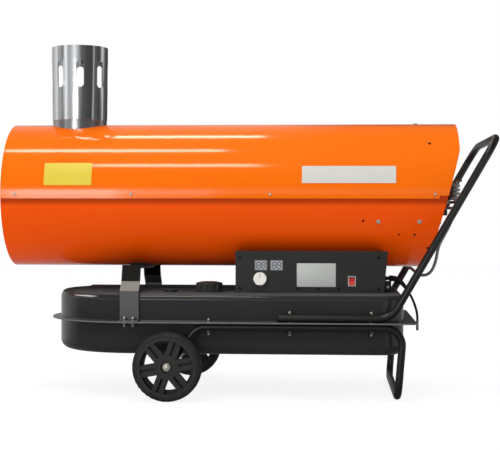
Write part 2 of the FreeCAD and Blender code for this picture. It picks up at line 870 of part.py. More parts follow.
def make_filler():
    c = at(filler_at, filler_y, 0)
    inner = neck_r - neck_wall
    rim = tank_top + neck_h
    flange = tank_top + neck_flange_t
    profile = [
        (inner, tank_top - neck_drop), (neck_r, tank_top - neck_drop), (neck_r, tank_top),
        (neck_flange_r, tank_top), (neck_flange_r, flange), (neck_r, flange), (neck_r, rim), (inner, rim),
    ]
    keep("filler_neck", spun([c + V(r, 0, z) for r, z in profile], c, Z))
    mesh_r = inner - lap_gap
    low = rim - strainer_len
    w = strainer_wall
    profile = [
        (0, low), (mesh_r, low), (mesh_r, rim), (neck_r, rim), (neck_r, rim + w), (mesh_r - w, rim + w),
        (mesh_r - w, low + w), (0, low + w),
    ]
    keep("fuel_strainer", spun([c + V(r, 0, z) for r, z in profile], c, Z))
    seat = rim + w
    keep("cap_seal", pipe(neck_r, mesh_r - 4, c + Z * seat, Z, seal_t))
    top = seat + seal_t
    skirt = flange + cap_gap
    r_in = neck_r + 0.5
    profile = [
        (r_in, skirt), (cap_r, skirt), (cap_r, top + cap_top_t - 1.5), (cap_r - 1.5, top + cap_top_t),
        (cap_r * 0.55, top + cap_top_t + cap_dome * 0.75), (0, top + cap_top_t + cap_dome), (0, top),
        (r_in, top),
    ]
    cap = spun([c + V(r, 0, z) for r, z in profile], c, Z)
    grooves = []
    for i in range(cap_lobes):
        middle = c + V(cap_r + cap_groove_r - cap_groove, 0, skirt)
        groove = rod(cap_groove_r, middle, Z, top - skirt + cap_top_t * 0.6)
        grooves.append(turned(groove, c, Z, 360.0 / cap_lobes * (i + 0.5)))
    keep("filler_cap", cap.cut(grooves))


def make_gauge():
    c = at(gauge_at, gauge_y, 0)
    t = tank_top
    low = t - gauge_plug_len
    seat = t + gauge_h - gauge_lens_t
    profile = [
        (gauge_bore_r, low), (gauge_plug_r, low), (gauge_plug_r, t), (gauge_r, t), (gauge_r, t + gauge_h),
        (gauge_r - 2, t + gauge_h), (gauge_r - 2, seat), (gauge_bore_r, seat),
    ]
    head = spun([c + V(r, 0, z) for r, z in profile], c, Z)
    keep("gauge_lens", rod(gauge_r - 2 - 0.1, c + Z * seat, Z, gauge_lens_t))
    pivot = c + Z * (t - gauge_pivot)
    inside = drum_face_w / 2 + drum_side_gap
    cheeks = []
    for side in (-1, 1):
        y0, y1 = sorted((c.y + side * inside, c.y + side * (inside + cheek_t)))
        cheeks.append(block(c.x - cheek_half_w, c.x + cheek_half_w, y0, y1, t - cheek_drop, low + 1))
    # a dry tank: the arm leans on its stop bar
    a = math.radians(float_empty_deg)
    along = V(-math.cos(a), 0, -math.sin(a))
    across = V(math.sin(a), 0, -math.cos(a))
    reach = inside + cheek_t
    bar_at = pivot + along * float_stop_at + across * (2 * float_wire_r + 0.1)
    bar = rod(float_wire_r, bar_at - Y * reach, Y, 2 * reach)
    plug_round = rod(gauge_plug_r, c + Z * (t - cheek_drop - 1), Z, cheek_drop + 2)
    frame = cheeks[0].fuse([cheeks[1], bar]).common(plug_round)
    pin_hole = rod(gauge_pin_r + run_gap, pivot - Y * (reach + 1), Y, 2 * reach + 2)
    bore = rod(gauge_bore_r, c + Z * low, Z, gauge_plug_len + gauge_h)
    keep("fuel_gauge", head.fuse(frame.cut(bore)).removeSplitter().cut(pin_hole))
    drum = rod(drum_face_r, pivot - Y * (drum_face_w / 2), Y, drum_face_w)
    pin = rod(gauge_pin_r, pivot - Y * reach, Y, 2 * reach)
    socket = rod(float_wire_r + 0.02, pivot + along * (drum_face_r / 2), along, drum_face_r)
    keep("gauge_pointer", drum.fuse(pin).removeSplitter().cut(socket))
    wire = rod(float_wire_r, pivot + along * (drum_face_r / 2 + 0.1), along, float_arm - drum_face_r / 2)
    body = rod(float_r, pivot + along * (float_arm - float_len / 2), along, float_len)
    keep("gauge_float", wire.fuse(body).removeSplitter())


# Saddle bracket

def offset_line(points, t):
    out = []
    for i, p in enumerate(points):
        before = points[max(i - 1, 0)]
        after = points[min(i + 1, len(points) - 1)]
        d0 = p.sub(before) if i > 0 else after.sub(p)
        d1 = after.sub(p) if i < len(points) - 1 else p.sub(before)
        d0.normalize()
        d1.normalize()
        n0 = V(0, d0.z, -d0.y)
        n1 = V(0, d1.z, -d1.y)
        mid = n0 + n1
        mid.normalize()
        out.append(p + mid * (t / mid.dot(n0)))
    return out


def make_saddle():
    wall = flange_half_w - flange_w
    side_y = wall + saddle_wall_gap
    x0 = front_x + saddle_at - saddle_w / 2
    plate_top = axis_z - lower_out - lap_gap - pad_min_t
    bend_z = tank_top + saddle_lean_z
    lean_y = side_y - saddle_lean
    half = [
        (flange_half_w - 0.5, flange_top), (side_y, flange_top), (side_y, bend_z),
        (lean_y, bend_z + saddle_lean), (saddle_top_half - saddle_t, plate_top - saddle_t + saddle_shoulder),
        (pad_half_y + 6, plate_top - saddle_t),
    ]
    inner = [V(x0, -y, z) for y, z in half] + [V(x0, y, z) for y, z in reversed(half)]
    outer = offset_line(inner, -saddle_t)
    strap = prism(inner + outer[::-1], X * saddle_w)
    holes = []
    for x, y, top, low in saddle_bolt_places():
        holes.append(rod(bolt_r + screw_gap, V(x, y, low - 5), Z, top - low + 10))
    keep("saddle_bracket", strap.cut(holes))
    pad = block(x0, x0 + saddle_w, -pad_half_y, pad_half_y, plate_top, plate_top + casing_r / 2)
    barrel = rod(lower_out + lap_gap, V(x0 - 1, 0, axis_z), X, saddle_w + 2)
    side = block(x0 - 1, x0 + saddle_w + 1, -pad_half_y - 1, pad_half_y + 1, axis_z - lower_out * 0.9, axis_z)
    keep("saddle_pad", pad.cut(barrel.fuse(side)))


# Control box

def box_section(shrink):
    y0 = panel_back + (0 if shrink == 0 else -1)
    y1 = -box_front_y - shrink
    z0 = tank_top + shrink
    z1 = tank_top + box_h - shrink
    r = lower_out + lap_gap + shrink
    x0 = box_x + shrink
    body = block(x0, box_end - shrink, y0, y1, z0, z1)
    return body.cut(rod(r, V(x0 - 1, 0, axis_z), X, box_len + 2))


def make_box():
    shell = box_section(0).cut(box_section(box_sheet))
    line_hole = rod(line_r + 1, at(suction_at, 0, tank_top - 5), Z, box_h)
    gland_hole = rod(gland_bush_r + screw_gap, V(box_end - 5, gland_y, tank_top + gland_z), X, 10)
    lead_hole = rod(lead_bush_r + screw_gap, V(box_end - 5, lead_gland_y, tank_top + lead_gland_z), X, 10)
    keep("control_box", shell.cut([line_hole, gland_hole, lead_hole]))
    top = tank_top + box_h
    y = box_front_y
    corners = [
        V(box_x, y, tank_top), V(box_end, y, tank_top), V(box_end + panel_rear_top, y, top), V(box_x, y, top),
    ]
    panel = prism(corners, Y * panel_t)
    cuts = []
    for x in display_at:
        cx, cz = box_x + x, tank_top + display_z
        w, h = display_w / 2 - display_lip, display_h / 2 - display_lip
        cuts.append(block(cx - w - 0.2, cx + w + 0.2, y - 1, y + 5, cz - h - 0.2, cz + h + 0.2))
    cuts.append(rod(pot_bush_r + screw_gap, V(box_x + knob_at, y - 1, tank_top + knob_z), Y, 6))
    cx, cz = box_x + switch_at, tank_top + switch_z
    w, h = switch_body_w / 2 + 0.2, switch_body_h / 2 + 0.2
    cuts.append(block(cx - w, cx + w, y - 1, y + 5, cz - h, cz + h))
    screws = []
    for sx, sz in panel_screw_places():
        cuts.append(rod(1.5 + screw_gap, V(sx, y - 1, sz), Y, 6))
        head = rod(panel_screw_r, V(sx, y - panel_screw_h, sz), Y, panel_screw_h)
        screws.append(head.fuse(rod(1.5, V(sx, y, sz), Y, panel_t + 4)))
    keep("control_panel", panel.cut(cuts))
    screws += [pan_screw(seat, outward, head_r) for seat, outward, head_r in casing_screw_places()]
    keep("housing_screws", Part.Compound(screws))
    cores = []
    for x in display_at:
        cx, cz = box_x + x, tank_top + display_z
        w, h = display_w / 2, display_h / 2
        lip = block(cx - w, cx + w, y - display_lip, y, cz - h, cz + h)
        w, h = w - display_lip, h - display_lip
        body = block(cx - w, cx + w, y, y + display_depth, cz - h, cz + h)
        recess = block(cx - w + 1, cx + w - 1, y - display_lip, y - display_lip + 0.5, cz - h + 1, cz + h - 1)
        cores.append(lip.fuse(body).removeSplitter().cut(recess))
    keep("display_modules", Part.Compound(cores))
    x0 = box_x + display_at[0] - display_w / 2 - board_margin
    x1 = box_x + display_at[1] + display_w / 2 + board_margin
    zc = tank_top + display_z
    board_y = y + display_depth
    reach = display_h / 2 + board_margin * 0.6
    keep("circuit_board", block(x0, x1, board_y, board_y + board_t, zc - reach, zc + reach))
    tx, ty, tz = transformer
    floor = tank_top + box_sheet
    start = box_x + transformer_at
    keep("ignition_transformer", block(start, start + tx, -ty / 2, ty / 2, floor, floor + tz))


def panel_screw_places():
    low, high = tank_top + panel_edge, tank_top + box_h - panel_edge - 4
    left, right = box_x + panel_edge, box_end - panel_edge - 3
    places = [(left, low), (left, high), (right, low), (right, high)]
    return places + [(box_x + x, low) for x in row_screws_at]


def make_knob():
    c = V(box_x + knob_at, box_front_y, tank_top + knob_z)
    body = rod(pot_r, c + Y * panel_t, Y, pot_len)
    bush = rod(pot_bush_r, c - Y * 0.3, Y, panel_t + 0.3)
    bore = rod(pot_shaft_r + run_gap, c - Y, Y, pot_len * 0.7 + panel_t + 1)
    keep("potentiometer", body.fuse(bush).cut(bore))
    top = c - Y * (knob_off + knob_h)
    grip = rod(knob_r, top, Y, knob_h)
    crown = [e for e in grip.Edges if abs(e.CenterOfMass.y - top.y) < 0.01 and e.Length > 10]
    grip = grip.makeFillet(knob_h * 0.12, crown)
    cuts = []
    for i in range(knob_lobes):
        notch = rod(knob_scallop_r, top + V(knob_r + knob_scallop_r - knob_scallop, -1, 0), Y, knob_h * 0.8)
        cuts.append(turned(notch, c, Y, 360.0 / knob_lobes * (i + 0.5)))
    shaft = rod(pot_shaft_r, top + Y * knob_h, Y, knob_off + panel_t + pot_len * 0.6)
    keep("thermostat_knob", grip.cut(cuts).fuse(shaft).removeSplitter())


def make_switch():
    c = V(box_x + switch_at, box_front_y, tank_top + switch_z)
    w, h = switch_w / 2, switch_h / 2
    lip = block(c.x - w, c.x + w, c.y - switch_lip, c.y, c.z - h, c.z + h)
    w, h = switch_body_w / 2, switch_body_h / 2
    body = block(c.x - w, c.x + w, c.y, c.y + switch_depth, c.z - h, c.z + h)
    w = rocker_w / 2 + rocker_gap
    h = rocker_half + 1.1
    well = block(c.x - w, c.x + w, c.y - switch_lip - 1, c.y + 9, c.z - h, c.z + h)
    pivot = V(c.x, c.y + 3.0, c.z)
    pin_len = switch_body_w / 2 - 0.2
    pin_hole = rod(rocker_pin_r + run_gap, pivot - X * pin_len, X, 2 * pin_len)
    keep("switch_housing", lip.fuse(body).removeSplitter().cut([well, pin_hole]))
    q = rocker_half
    front = c.y - switch_lip
    profile = [(front - 1.6, q), (front + 0.2, 0), (front - 1.6, -q), (c.y + 3.8, -q * 0.82), (c.y + 6, 0),
               (c.y + 3.8, q * 0.82)]
    points = [V(c.x - rocker_w / 2, y, c.z + z) for y, z in profile]
    pin = rod(rocker_pin_r, pivot - X * (pin_len - 0.2), X, 2 * pin_len - 0.4)
    rocker = prism(points, X * rocker_w).fuse(pin)
    rocker.rotate(pivot, X, rocker_rest_deg)
    keep("switch_rocker", rocker)


# Fuel lines

def make_lines():
    sx = front_x + suction_at
    px = pump_x + pump_len / 2
    start_z = axis_z - pump_r - 6
    run_z = axis_z - suction_low
    end_z = tank_low + tank_sheet + pickup_off + pickup_h
    points = [V(px, 0, start_z), V(px, 0, run_z), V(sx, 0, run_z), V(sx, 0, end_z)]
    line = bent_tube(points, [line_bend, line_bend], line_r, line_wall)
    keep("suction_line", Part.Compound([line, rod(pickup_r, V(sx, 0, end_z), -Z, pickup_h)]))
    nose = drum_back + burner_tail + 12
    turn_x = nose + line_bend + 4
    side = math.radians(25)
    lift = V(0, math.sin(side), math.cos(side))
    points = [
        V(px, 0, axis_z) + lift * pump_r, V(px, 0, axis_z) + lift * pressure_run_r,
        V(turn_x, 0, axis_z) + lift * pressure_run_r, V(turn_x, 0, axis_z), V(nose, 0, axis_z),
    ]
    keep("pressure_line", swept(bent_path(points, [12, 12, line_bend]), pressure_r))


# Frame

def make_frame():
    hx = front_x + handle_corner
    top_x = overall / 2 - tube_r
    top_z = handle_z + (top_x - hx) * math.tan(math.radians(handle_deg))
    start = front_x + handle_start
    near = [V(start, -tube_y, handle_z), V(hx, -tube_y, handle_z), V(top_x, -tube_y, top_z)]
    far = [V(p.x, -p.y, p.z) for p in reversed(near)]
    radii = [handle_bend, handle_top_bend, handle_top_bend, handle_bend]
    holes = bolt_holes()
    keep("handle_frame", bent_tube(near + far, radii, tube_r, tube_wall).cut(holes))
    bend = V(front_x + frame_front, -tube_y, frame_z)
    hub = V(axle_x, -tube_y, axle_z)
    down = hub.sub(bend)
    down.normalize()
    rear = front_x + frame_rear
    near = [hub + down * axle_past, bend, V(rear, -tube_y, frame_z), V(rear - leg_lean, -tube_y, tube_r)]
    far = [V(p.x, -p.y, p.z) for p in reversed(near)]
    radii = [leg_bend, leg_bend, foot_bend, foot_bend, leg_bend, leg_bend]
    axle_hole = rod(axle_r + run_gap, V(axle_x, -wheel_out, axle_z), Y, 2 * wheel_out)
    keep("lower_frame", bent_tube(near + far, radii, tube_r, tube_wall).cut(holes + [axle_hole]))


# Wheels

def make_wheel():
    c = V(axle_x, 0, axle_z)
    rim_r = wheel_r - tyre_depth
    y0, y1 = -hub_in, -wheel_out
    face = y1 + disc_inset
    band = pipe(rim_r, rim_r - rim_band, c + Y * y1, Y, wheel_w)
    disc = rod(rim_r - 1, c + Y * face, Y, disc_t)
    hub = rod(hub_r, c + Y * face, Y, y0 - face)
    cuts = [rod(axle_r + run_gap, c + Y * (y1 - 1), Y, wheel_w + 2)]
    cuts.append(rod(hub_recess_r, c + Y * (y1 - 1), Y, hub_recess + 1))
    pitch = 360.0 / spokes
    cuts.append(rod(rim_r - window_band, c + Y * (y1 - 1), Y, disc_inset + 1))
    ring = pipe(rim_r - window_band, hub_r + 6, c + Y * (y1 - 1), Y, disc_inset + disc_t + 2)
    bars = []
    for i in range(spokes):
        bar = block(c.x - spoke_w / 2, c.x + spoke_w / 2, y1 - 2, y1 + disc_inset + disc_t + 3,
                    c.z, c.z + wheel_r)
        bars.append(turned(bar, c, Y, pitch * i + spoke_turn))
        slot = block(c.x - spoke_slot_w / 2, c.x + spoke_slot_w / 2, face - 1, face + spoke_slot_depth,
                     c.z + spoke_slot_from, c.z + spoke_slot_from + spoke_slot_len)
        cuts.append(turned(slot, c, Y, pitch * i + spoke_turn))
    cuts.append(ring.cut(bars))
    rim = band.fuse([disc, hub]).removeSplitter().cut(cuts)
    s = tyre_shoulder
    inner = rim_r + 0.1
    profile = [
        (inner, y1), (wheel_r - s, y1 + 0.5), (wheel_r - 1, y1 + s), (wheel_r, y1 + wheel_w * 0.4),
        (wheel_r, y0 - wheel_w * 0.4), (wheel_r - 1, y0 - s), (wheel_r - s, y0 - 0.5), (inner, y0),
    ]
    tyre = spun([V(c.x, y, c.z + r) for r, y in profile], c, Y)
    grooves = []
    for i in range(tread_grooves):
        for y in (y1 - 1, y0 - wheel_w * 0.3):
            groove = block(c.x - tread_w / 2, c.x + tread_w / 2, y, y + wheel_w * 0.3 + 1,
                           c.z + wheel_r - tread_depth - 1, c.z + wheel_r + 1)
            grooves.append(turned(groove, c, Y, 360.0 / tread_grooves * i))
    tyre = tyre.cut(grooves)
    keep("wheel_right", rim)
    keep("tyre_right", tyre)
    keep("wheel_left", mirror_y(rim))
    keep("tyre_left", mirror_y(tyre))


def make_axle():
    c = V(axle_x, 0, axle_z)
    end = wheel_out - disc_inset
    keep("axle", rod(axle_r, c - Y * end, Y, 2 * end))
    pieces = []
    floor = wheel_out - hub_recess
    bore = axle_r + run_gap
    for side in (-1, 1):
        seat = tube_y + tube_r + 0.1
        pieces.append(pipe(washer_r, bore, c + Y * (side * seat), Y * side, wheel_gap - 0.2 - 0.1))
        pieces.append(pipe(washer_r, bore, c + Y * (side * (floor + 0.2)), Y * side, washer_t))
        start = c + Y * (side * (floor + 0.2 + washer_t))
        nut = hexagon(axle_nut_r, start, Y * side, axle_nut_h)
        pieces.append(nut.cut(rod(bore, start, Y * side, axle_nut_h)))
    keep("axle_hardware", Part.Compound(pieces))


# Cords

def cord_radii(points):
    radii = []
    for i in range(1, len(points) - 1):
        back = points[i - 1].sub(points[i])
        ahead = points[i + 1].sub(points[i])
        half = (math.pi - back.getAngle(ahead)) / 2
        radii.append(0.45 * min(back.Length, ahead.Length) / math.tan(half))
    return radii


def path_length(edges):
    return sum(edge.Length for edge in edges)


def cord_tube(name, points, d):
    radii = cord_radii(points)
    edges = bent_path(points, radii)
    solid = swept(edges, d / 2)
    length = path_length(edges)
    print(name, "radii", [round(r, 1) for r in radii], "length", round(length, 1),
          "volume ratio", round(solid.Volume / (math.pi * d * d / 4 * length), 4))
    keep(name, solid)


def wind_level(k):
    return axis_z + wind_z + wind_pitch * k


def climb(x, y0, y1, z0, z1):
    # S of two shallow arcs, level at both ends
    run, rise = abs(y1 - y0), z1 - z0
    r = (run * run + rise * rise) / (4 * rise)
    quarter = r - math.sqrt(r * r - run * run / 16)
    middle = V(x, (y0 + y1) / 2, (z0 + z1) / 2)
    first = Part.Arc(V(x, y0, z0), V(x, (3 * y0 + y1) / 4, z0 + quarter), middle)
    second = Part.Arc(middle, V(x, (y0 + 3 * y1) / 4, z1 - quarter), V(x, y1, z1))
    return [first.toShape(), second.toShape()]


def make_winding():
    back, front = post_x + wind_r, post_x - wind_r
    y = hook_y
    edges = []
    start = wind_start_y
    for k in range(wind_turns + 1):
        z = wind_level(k)
        edges.append(Part.LineSegment(V(back, start, z), V(back, y, z)).toShape())
        edges.append(Part.Arc(V(back, y, z), V(post_x, y + wind_r, z), V(front, y, z)).toShape())
        if k == wind_turns:
            edges.append(Part.LineSegment(V(front, y, z), V(front, wind_end_y, z)).toShape())
        else:
            up = z + wind_pitch
            edges += climb(front, y, -y, z, up)
            edges.append(Part.Arc(V(front, -y, up), V(post_x, -y - wind_r, up), V(back, -y, up)).toShape())
        start = -y
    path = Part.Wire(edges)
    ring = Part.Wire(Part.Circle(V(back, wind_start_y, wind_level(0)), Y, cord_d / 2).toShape())
    solid = path.makePipeShell([ring], True, False)
    ideal = math.pi * cord_d * cord_d / 4 * path.Length
    print("cord_winding length", round(path.Length, 1), "volume ratio", round(solid.Volume / ideal, 4),
          "least gap", round(least_gap(path), 2))
    keep("cord_winding", solid)


def least_gap(path):
    step = 3.0
    points = path.discretize(Distance=step)
    skip = int(math.pi * wind_r / step) + 1
    best = 1e9
    for i, p in enumerate(points):
        for q in points[i + skip:]:
            best = min(best, p.distanceToPoint(q))
    return best - cord_d


def gland(seat, r, tip_r, length, bush_r):
    # nut, tapered bend relief and the bush behind the wall
    profile = [
        (-gland_bush, 0), (-gland_bush, bush_r), (0, bush_r), (0, r), (gland_nut - 1, r), (gland_nut, r - 1),
        (gland_nut, (r + tip_r) / 2), (length, tip_r), (length, 0),
    ]
    return spun([seat + V(x, 0, q) for x, q in profile], seat, X)


def make_glands():
    gz = tank_top + gland_z
    lz = tank_top + lead_gland_z
    power = gland(V(box_end, gland_y, gz), gland_r, gland_tip_r, gland_len, gland_bush_r)
    lead = gland(V(box_end, lead_gland_y, lz), lead_gland_r, lead_tip_r, lead_gland_len, lead_bush_r)
    keep("cable_glands", Part.Compound([power, lead]))


def make_cords():
    leave_box = V(box_end + gland_len, gland_y, tank_top + gland_z)
    join = V(post_x + wind_r, wind_start_y, wind_level(0))
    points = [leave_box]
    for step in ((13, 0, 0), (39, -10, -10), (60, -29, -30), (82, -51, -24)):
        points.append(leave_box + V(*step))
    for step in ((-40, 26, -133), (-37, 4, -98), (-27, -30, -74), (-14.6, -51.8, -46.6), (-6.8, -46.6, -22.4),
                 (-1.8, -34.2, -7.6), (0, -18, 0)):
        points.append(join + V(*step))
    cord_tube("power_cord", points + [join], cord_d)
    leave = V(post_x - wind_r, wind_end_y, wind_level(wind_turns))
    points = [leave]
    for step in ((0, -12, 0), (-6, -29.2, 8.2), (-14, -47.2, 6.2), (-21, -57.2, -9.6), (-21, -57.2, -27.6)):
        points.append(leave + V(*step))
    cord_tube("cord_tail", points, cord_d)
    top = points[-1]
    neck = rod(plug_neck_r, top, -Z, plug_neck)
    body = rod(plug_r, top - Z * plug_neck, -Z, plug_body)
    pins = []
    for side in (-1, 1):
        pins.append(rod(plug_pin_r, top + V(0, side * plug_pin_y, -plug_neck - plug_body), -Z, plug_pin_len))
    keep("power_plug", body.fuse([neck] + pins))
    leave_box = V(box_end + lead_gland_len, lead_gland_y, tank_top + lead_gland_z)
    points = [leave_box]
    for step in ((12, 0, 0), (21.5, -1, -8), (32, -2, -23), (42.5, -3, -40), (50.5, -3, -60),
                 (55, -3, -78), (55, -3, -90)):
        points.append(leave_box + V(*step))
    cord_tube("sensor_lead", points, lead_d)
    keep("sensor_probe", rod(probe_r, points[-1], -Z, probe_len))


def main():
    make_casing()
    make_flue()
    make_outlet()
    make_drum()
    make_burner()
    make_motor()
    make_guard()
    make_tank()
    make_filler()
    make_gauge()
    make_saddle()
    make_box()
    make_knob()
    make_switch()
    make_lines()
    make_frame()
    make_wheel()
    make_axle()
    make_winding()
    make_glands()
    make_cords()
    os.makedirs("parts", exist_ok=True)
    for name, shape in nodes.items():
        if not shape.isValid():
            print("not valid:", name)
        shape.exportStep("parts/" + name + ".step")
        box = shape.BoundBox
        print(name, len(shape.Solids), "solids", round(shape.Volume / 1000, 1), "cm3",
              [round(v, 1) for v in (box.XMin, box.XMax, box.YMin, box.YMax, box.ZMin, box.ZMax)])


main()
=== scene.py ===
import json
import math
import bpy
import bmesh
from mathutils import Matrix, Vector


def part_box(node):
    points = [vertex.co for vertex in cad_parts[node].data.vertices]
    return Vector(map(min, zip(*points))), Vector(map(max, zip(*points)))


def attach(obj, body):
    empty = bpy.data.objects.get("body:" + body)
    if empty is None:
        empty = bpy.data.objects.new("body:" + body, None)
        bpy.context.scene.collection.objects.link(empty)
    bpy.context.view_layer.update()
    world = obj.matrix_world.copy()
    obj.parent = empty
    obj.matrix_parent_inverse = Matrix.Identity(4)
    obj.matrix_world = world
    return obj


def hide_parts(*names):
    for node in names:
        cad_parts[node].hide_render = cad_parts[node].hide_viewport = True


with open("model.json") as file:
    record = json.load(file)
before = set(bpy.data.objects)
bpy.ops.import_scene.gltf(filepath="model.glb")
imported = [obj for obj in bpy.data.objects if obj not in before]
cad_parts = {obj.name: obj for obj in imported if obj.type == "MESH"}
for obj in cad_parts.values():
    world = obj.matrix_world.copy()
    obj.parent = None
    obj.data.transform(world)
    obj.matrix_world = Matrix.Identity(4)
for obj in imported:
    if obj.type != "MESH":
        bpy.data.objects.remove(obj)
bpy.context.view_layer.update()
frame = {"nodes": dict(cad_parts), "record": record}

nodes = frame["nodes"]
scene = bpy.context.scene
scene.view_settings.view_transform = "Standard"


def mm(*values):
    return Vector([v / 1000 for v in values])


# camera, fitted to the photograph by the places of wheels, tank rim, barrel and screws; angles in radians
camera = {"place": (176.5, -2812.6, 375.4), "yaw": -0.0637, "pitch": -0.0039, "roll": 0.0019,
          "focalPixels": 1260.0, "imageWidth": 500.0, "sensorWidth": 36.0, "clipEnd": 50.0}


def placeCamera(spec):
    yaw, pitch, roll = spec["yaw"], spec["pitch"], spec["roll"]
    ahead = Vector((math.sin(yaw) * math.cos(pitch), math.cos(yaw) * math.cos(pitch), math.sin(pitch)))
    right = Vector((math.cos(yaw), -math.sin(yaw), 0))
    up = right.cross(ahead)
    turn = Matrix((right, up, -ahead)).transposed().to_4x4() @ Matrix.Rotation(roll, 4, "Z")
    data = bpy.data.cameras.new("photoCamera")
    data.sensor_fit = "HORIZONTAL"
    data.sensor_width = spec["sensorWidth"]
    data.lens = spec["focalPixels"] / spec["imageWidth"] * spec["sensorWidth"]
    data.clip_end = spec["clipEnd"]
    eye = bpy.data.objects.new("photoCamera", data)
    eye.matrix_world = Matrix.Translation(mm(*spec["place"])) @ turn
    scene.collection.objects.link(eye)
    scene.camera = eye


placeCamera(camera)
print("camera placed")


# cords: the route's points are the control points of one smooth spline, in millimetres
mains = {
    "diameter": 7.0, "length": 1.94,   # the length in metres
    "exit": (319.5, 95.0, 279.0),
    "fromBox": ((13, 0, 0), (39, -10, -10), (60, -29, -30), (82, -51, -24)),
    "join": (452.0, -4.0, 416.4),
    "toJoin": ((-40, 26, -133), (-37, 4, -98), (-27, -30, -74), (-14.6, -51.8, -46.6),
               (-6.8, -46.6, -22.4), (-1.8, -34.2, -7.6), (0, -18, 0)),
    "postX": 445.0, "postY": 75.0, "foldR": 7.0, "turns": 4, "pitch": 8.4, "runPoint": 33.0,
    "climb": (0.16, 0.84),   # shares of the pitch at the two points of a run that climbs
    "leave": (438.0, 48.0, 450.0),
    "tail": ((0, 0, 0), (0, -12, 0), (-6, -29.2, 8.2), (-14, -47.2, 6.2), (-21, -57.2, -9.6),
             (-21, -57.2, -27.6)),
}
sensor = {
    "diameter": 5.4, "length": 0.114,   # the length in metres
    "exit": (309.5, -72.0, 250.0),
    "route": ((0, 0, 0), (12, 0, 0), (21.5, -1, -8), (32, -2, -23), (42.5, -3, -40), (50.5, -3, -60),
              (55, -3, -78), (55, -3, -90)),
}
# moulded boot where the lead leaves the box, thick at the box and tapering along the lead
boot = {
    "steps": ((-6, 0, 0), (4, 0, 0), (13, -0.3, -2.6), (20, -0.9, -8.2), (27, -1.4, -16), (33, -1.8, -24.5)),
    "radii": (6.6, 6.4, 5.9, 5.2, 4.4, 3.5),
}
cordMesh = {"aroundSteps": 5, "alongSteps": 8}


def shifted(start, steps):
    return [Vector(start) + Vector(step) for step in steps]


def windingPoints(spec):
    points = []
    x, y, r = spec["postX"], spec["postY"], spec["foldR"]
    run, up = spec["runPoint"], spec["pitch"]
    side = r * math.tan(math.pi / 8)
    # the six corners of an octagon that lead round a hook
    fold = ((r, -side), (r, side), (side, r), (-side, r), (-r, side), (-r, -side))
    for k in range(spec["turns"] + 1):
        z = spec["join"][2] + up * k
        if k > 0:
            points.append(Vector((x + r, -run, z)))
        points.append(Vector((x + r, run, z)))
        points += [Vector((x + a, y + b, z)) for a, b in fold]
        if k < spec["turns"]:
            for place, share in zip((run, -run), spec["climb"]):
                points.append(Vector((x - r, place, z + share * up)))
            points += [Vector((x - a, -y - b, z + up)) for a, b in fold]
    return points


def cordCurve(name, points, radii):
    curve = bpy.data.curves.new(name, "CURVE")
    curve.dimensions = "3D"
    curve.bevel_depth = 1.0   # times the radius of each point
    curve.bevel_resolution = cordMesh["aroundSteps"]
    curve.resolution_u = cordMesh["alongSteps"]
    curve.use_fill_caps = True
    spline = curve.splines.new("NURBS")
    spline.points.add(len(points) - 1)
    for point, place, r in zip(spline.points, points, radii):
        point.co = (*mm(*place), 1)
        point.radius = r / 1000
    spline.order_u = 3
    spline.use_endpoint_u = True
    cord = bpy.data.objects.new(name, curve)
    scene.collection.objects.link(cord)
    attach(cord, "heater")
    return cord


route = [Vector(mains["exit"])] + shifted(mains["exit"], mains["fromBox"])
route += shifted(mains["join"], mains["toJoin"]) + [Vector(mains["join"])]
route += windingPoints(mains) + shifted(mains["leave"], mains["tail"])
mainsCord = cordCurve("mainsCord", route, [mains["diameter"] / 2] * len(route))
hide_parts("power_cord", "cord_winding", "cord_tail")
route = shifted(sensor["exit"], sensor["route"])
sensorLead = cordCurve("sensorLead", route, [sensor["diameter"] / 2] * len(route))
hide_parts("sensor_lead")
leadBoot = cordCurve("leadBoot", shifted(sensor["exit"], boot["steps"]), boot["radii"])
print("cords laid")


# materials
def linear(text):
    out = []
    for i in (0, 2, 4):
        c = int(text[i:i + 2], 16) / 255
        out.append(c / 12.92 if c <= 0.04045 else ((c + 0.055) / 1.055) ** 2.4)
    return (*out, 1.0)


def addNode(tree, kind, settings=None, links=None):
    node = tree.nodes.new(kind)
    for key, value in (settings or {}).items():
        if isinstance(key, str) and hasattr(node, key):
            setattr(node, key, value)
        else:
            node.inputs[key].default_value = value
    for key, source in (links or {}).items():
        tree.links.new(source, node.inputs[key])
    return node


# shared by all finishes: detail of the noises, strength of the relief, and how far a normal turns at an edge
surface = {"cloudDetail": 3.0, "grainDetail": 2.0, "swellDetail": 1.0, "relief": 0.6, "edgeSamples": 4,
           "flatDot": 0.98, "edgeDot": 0.75}


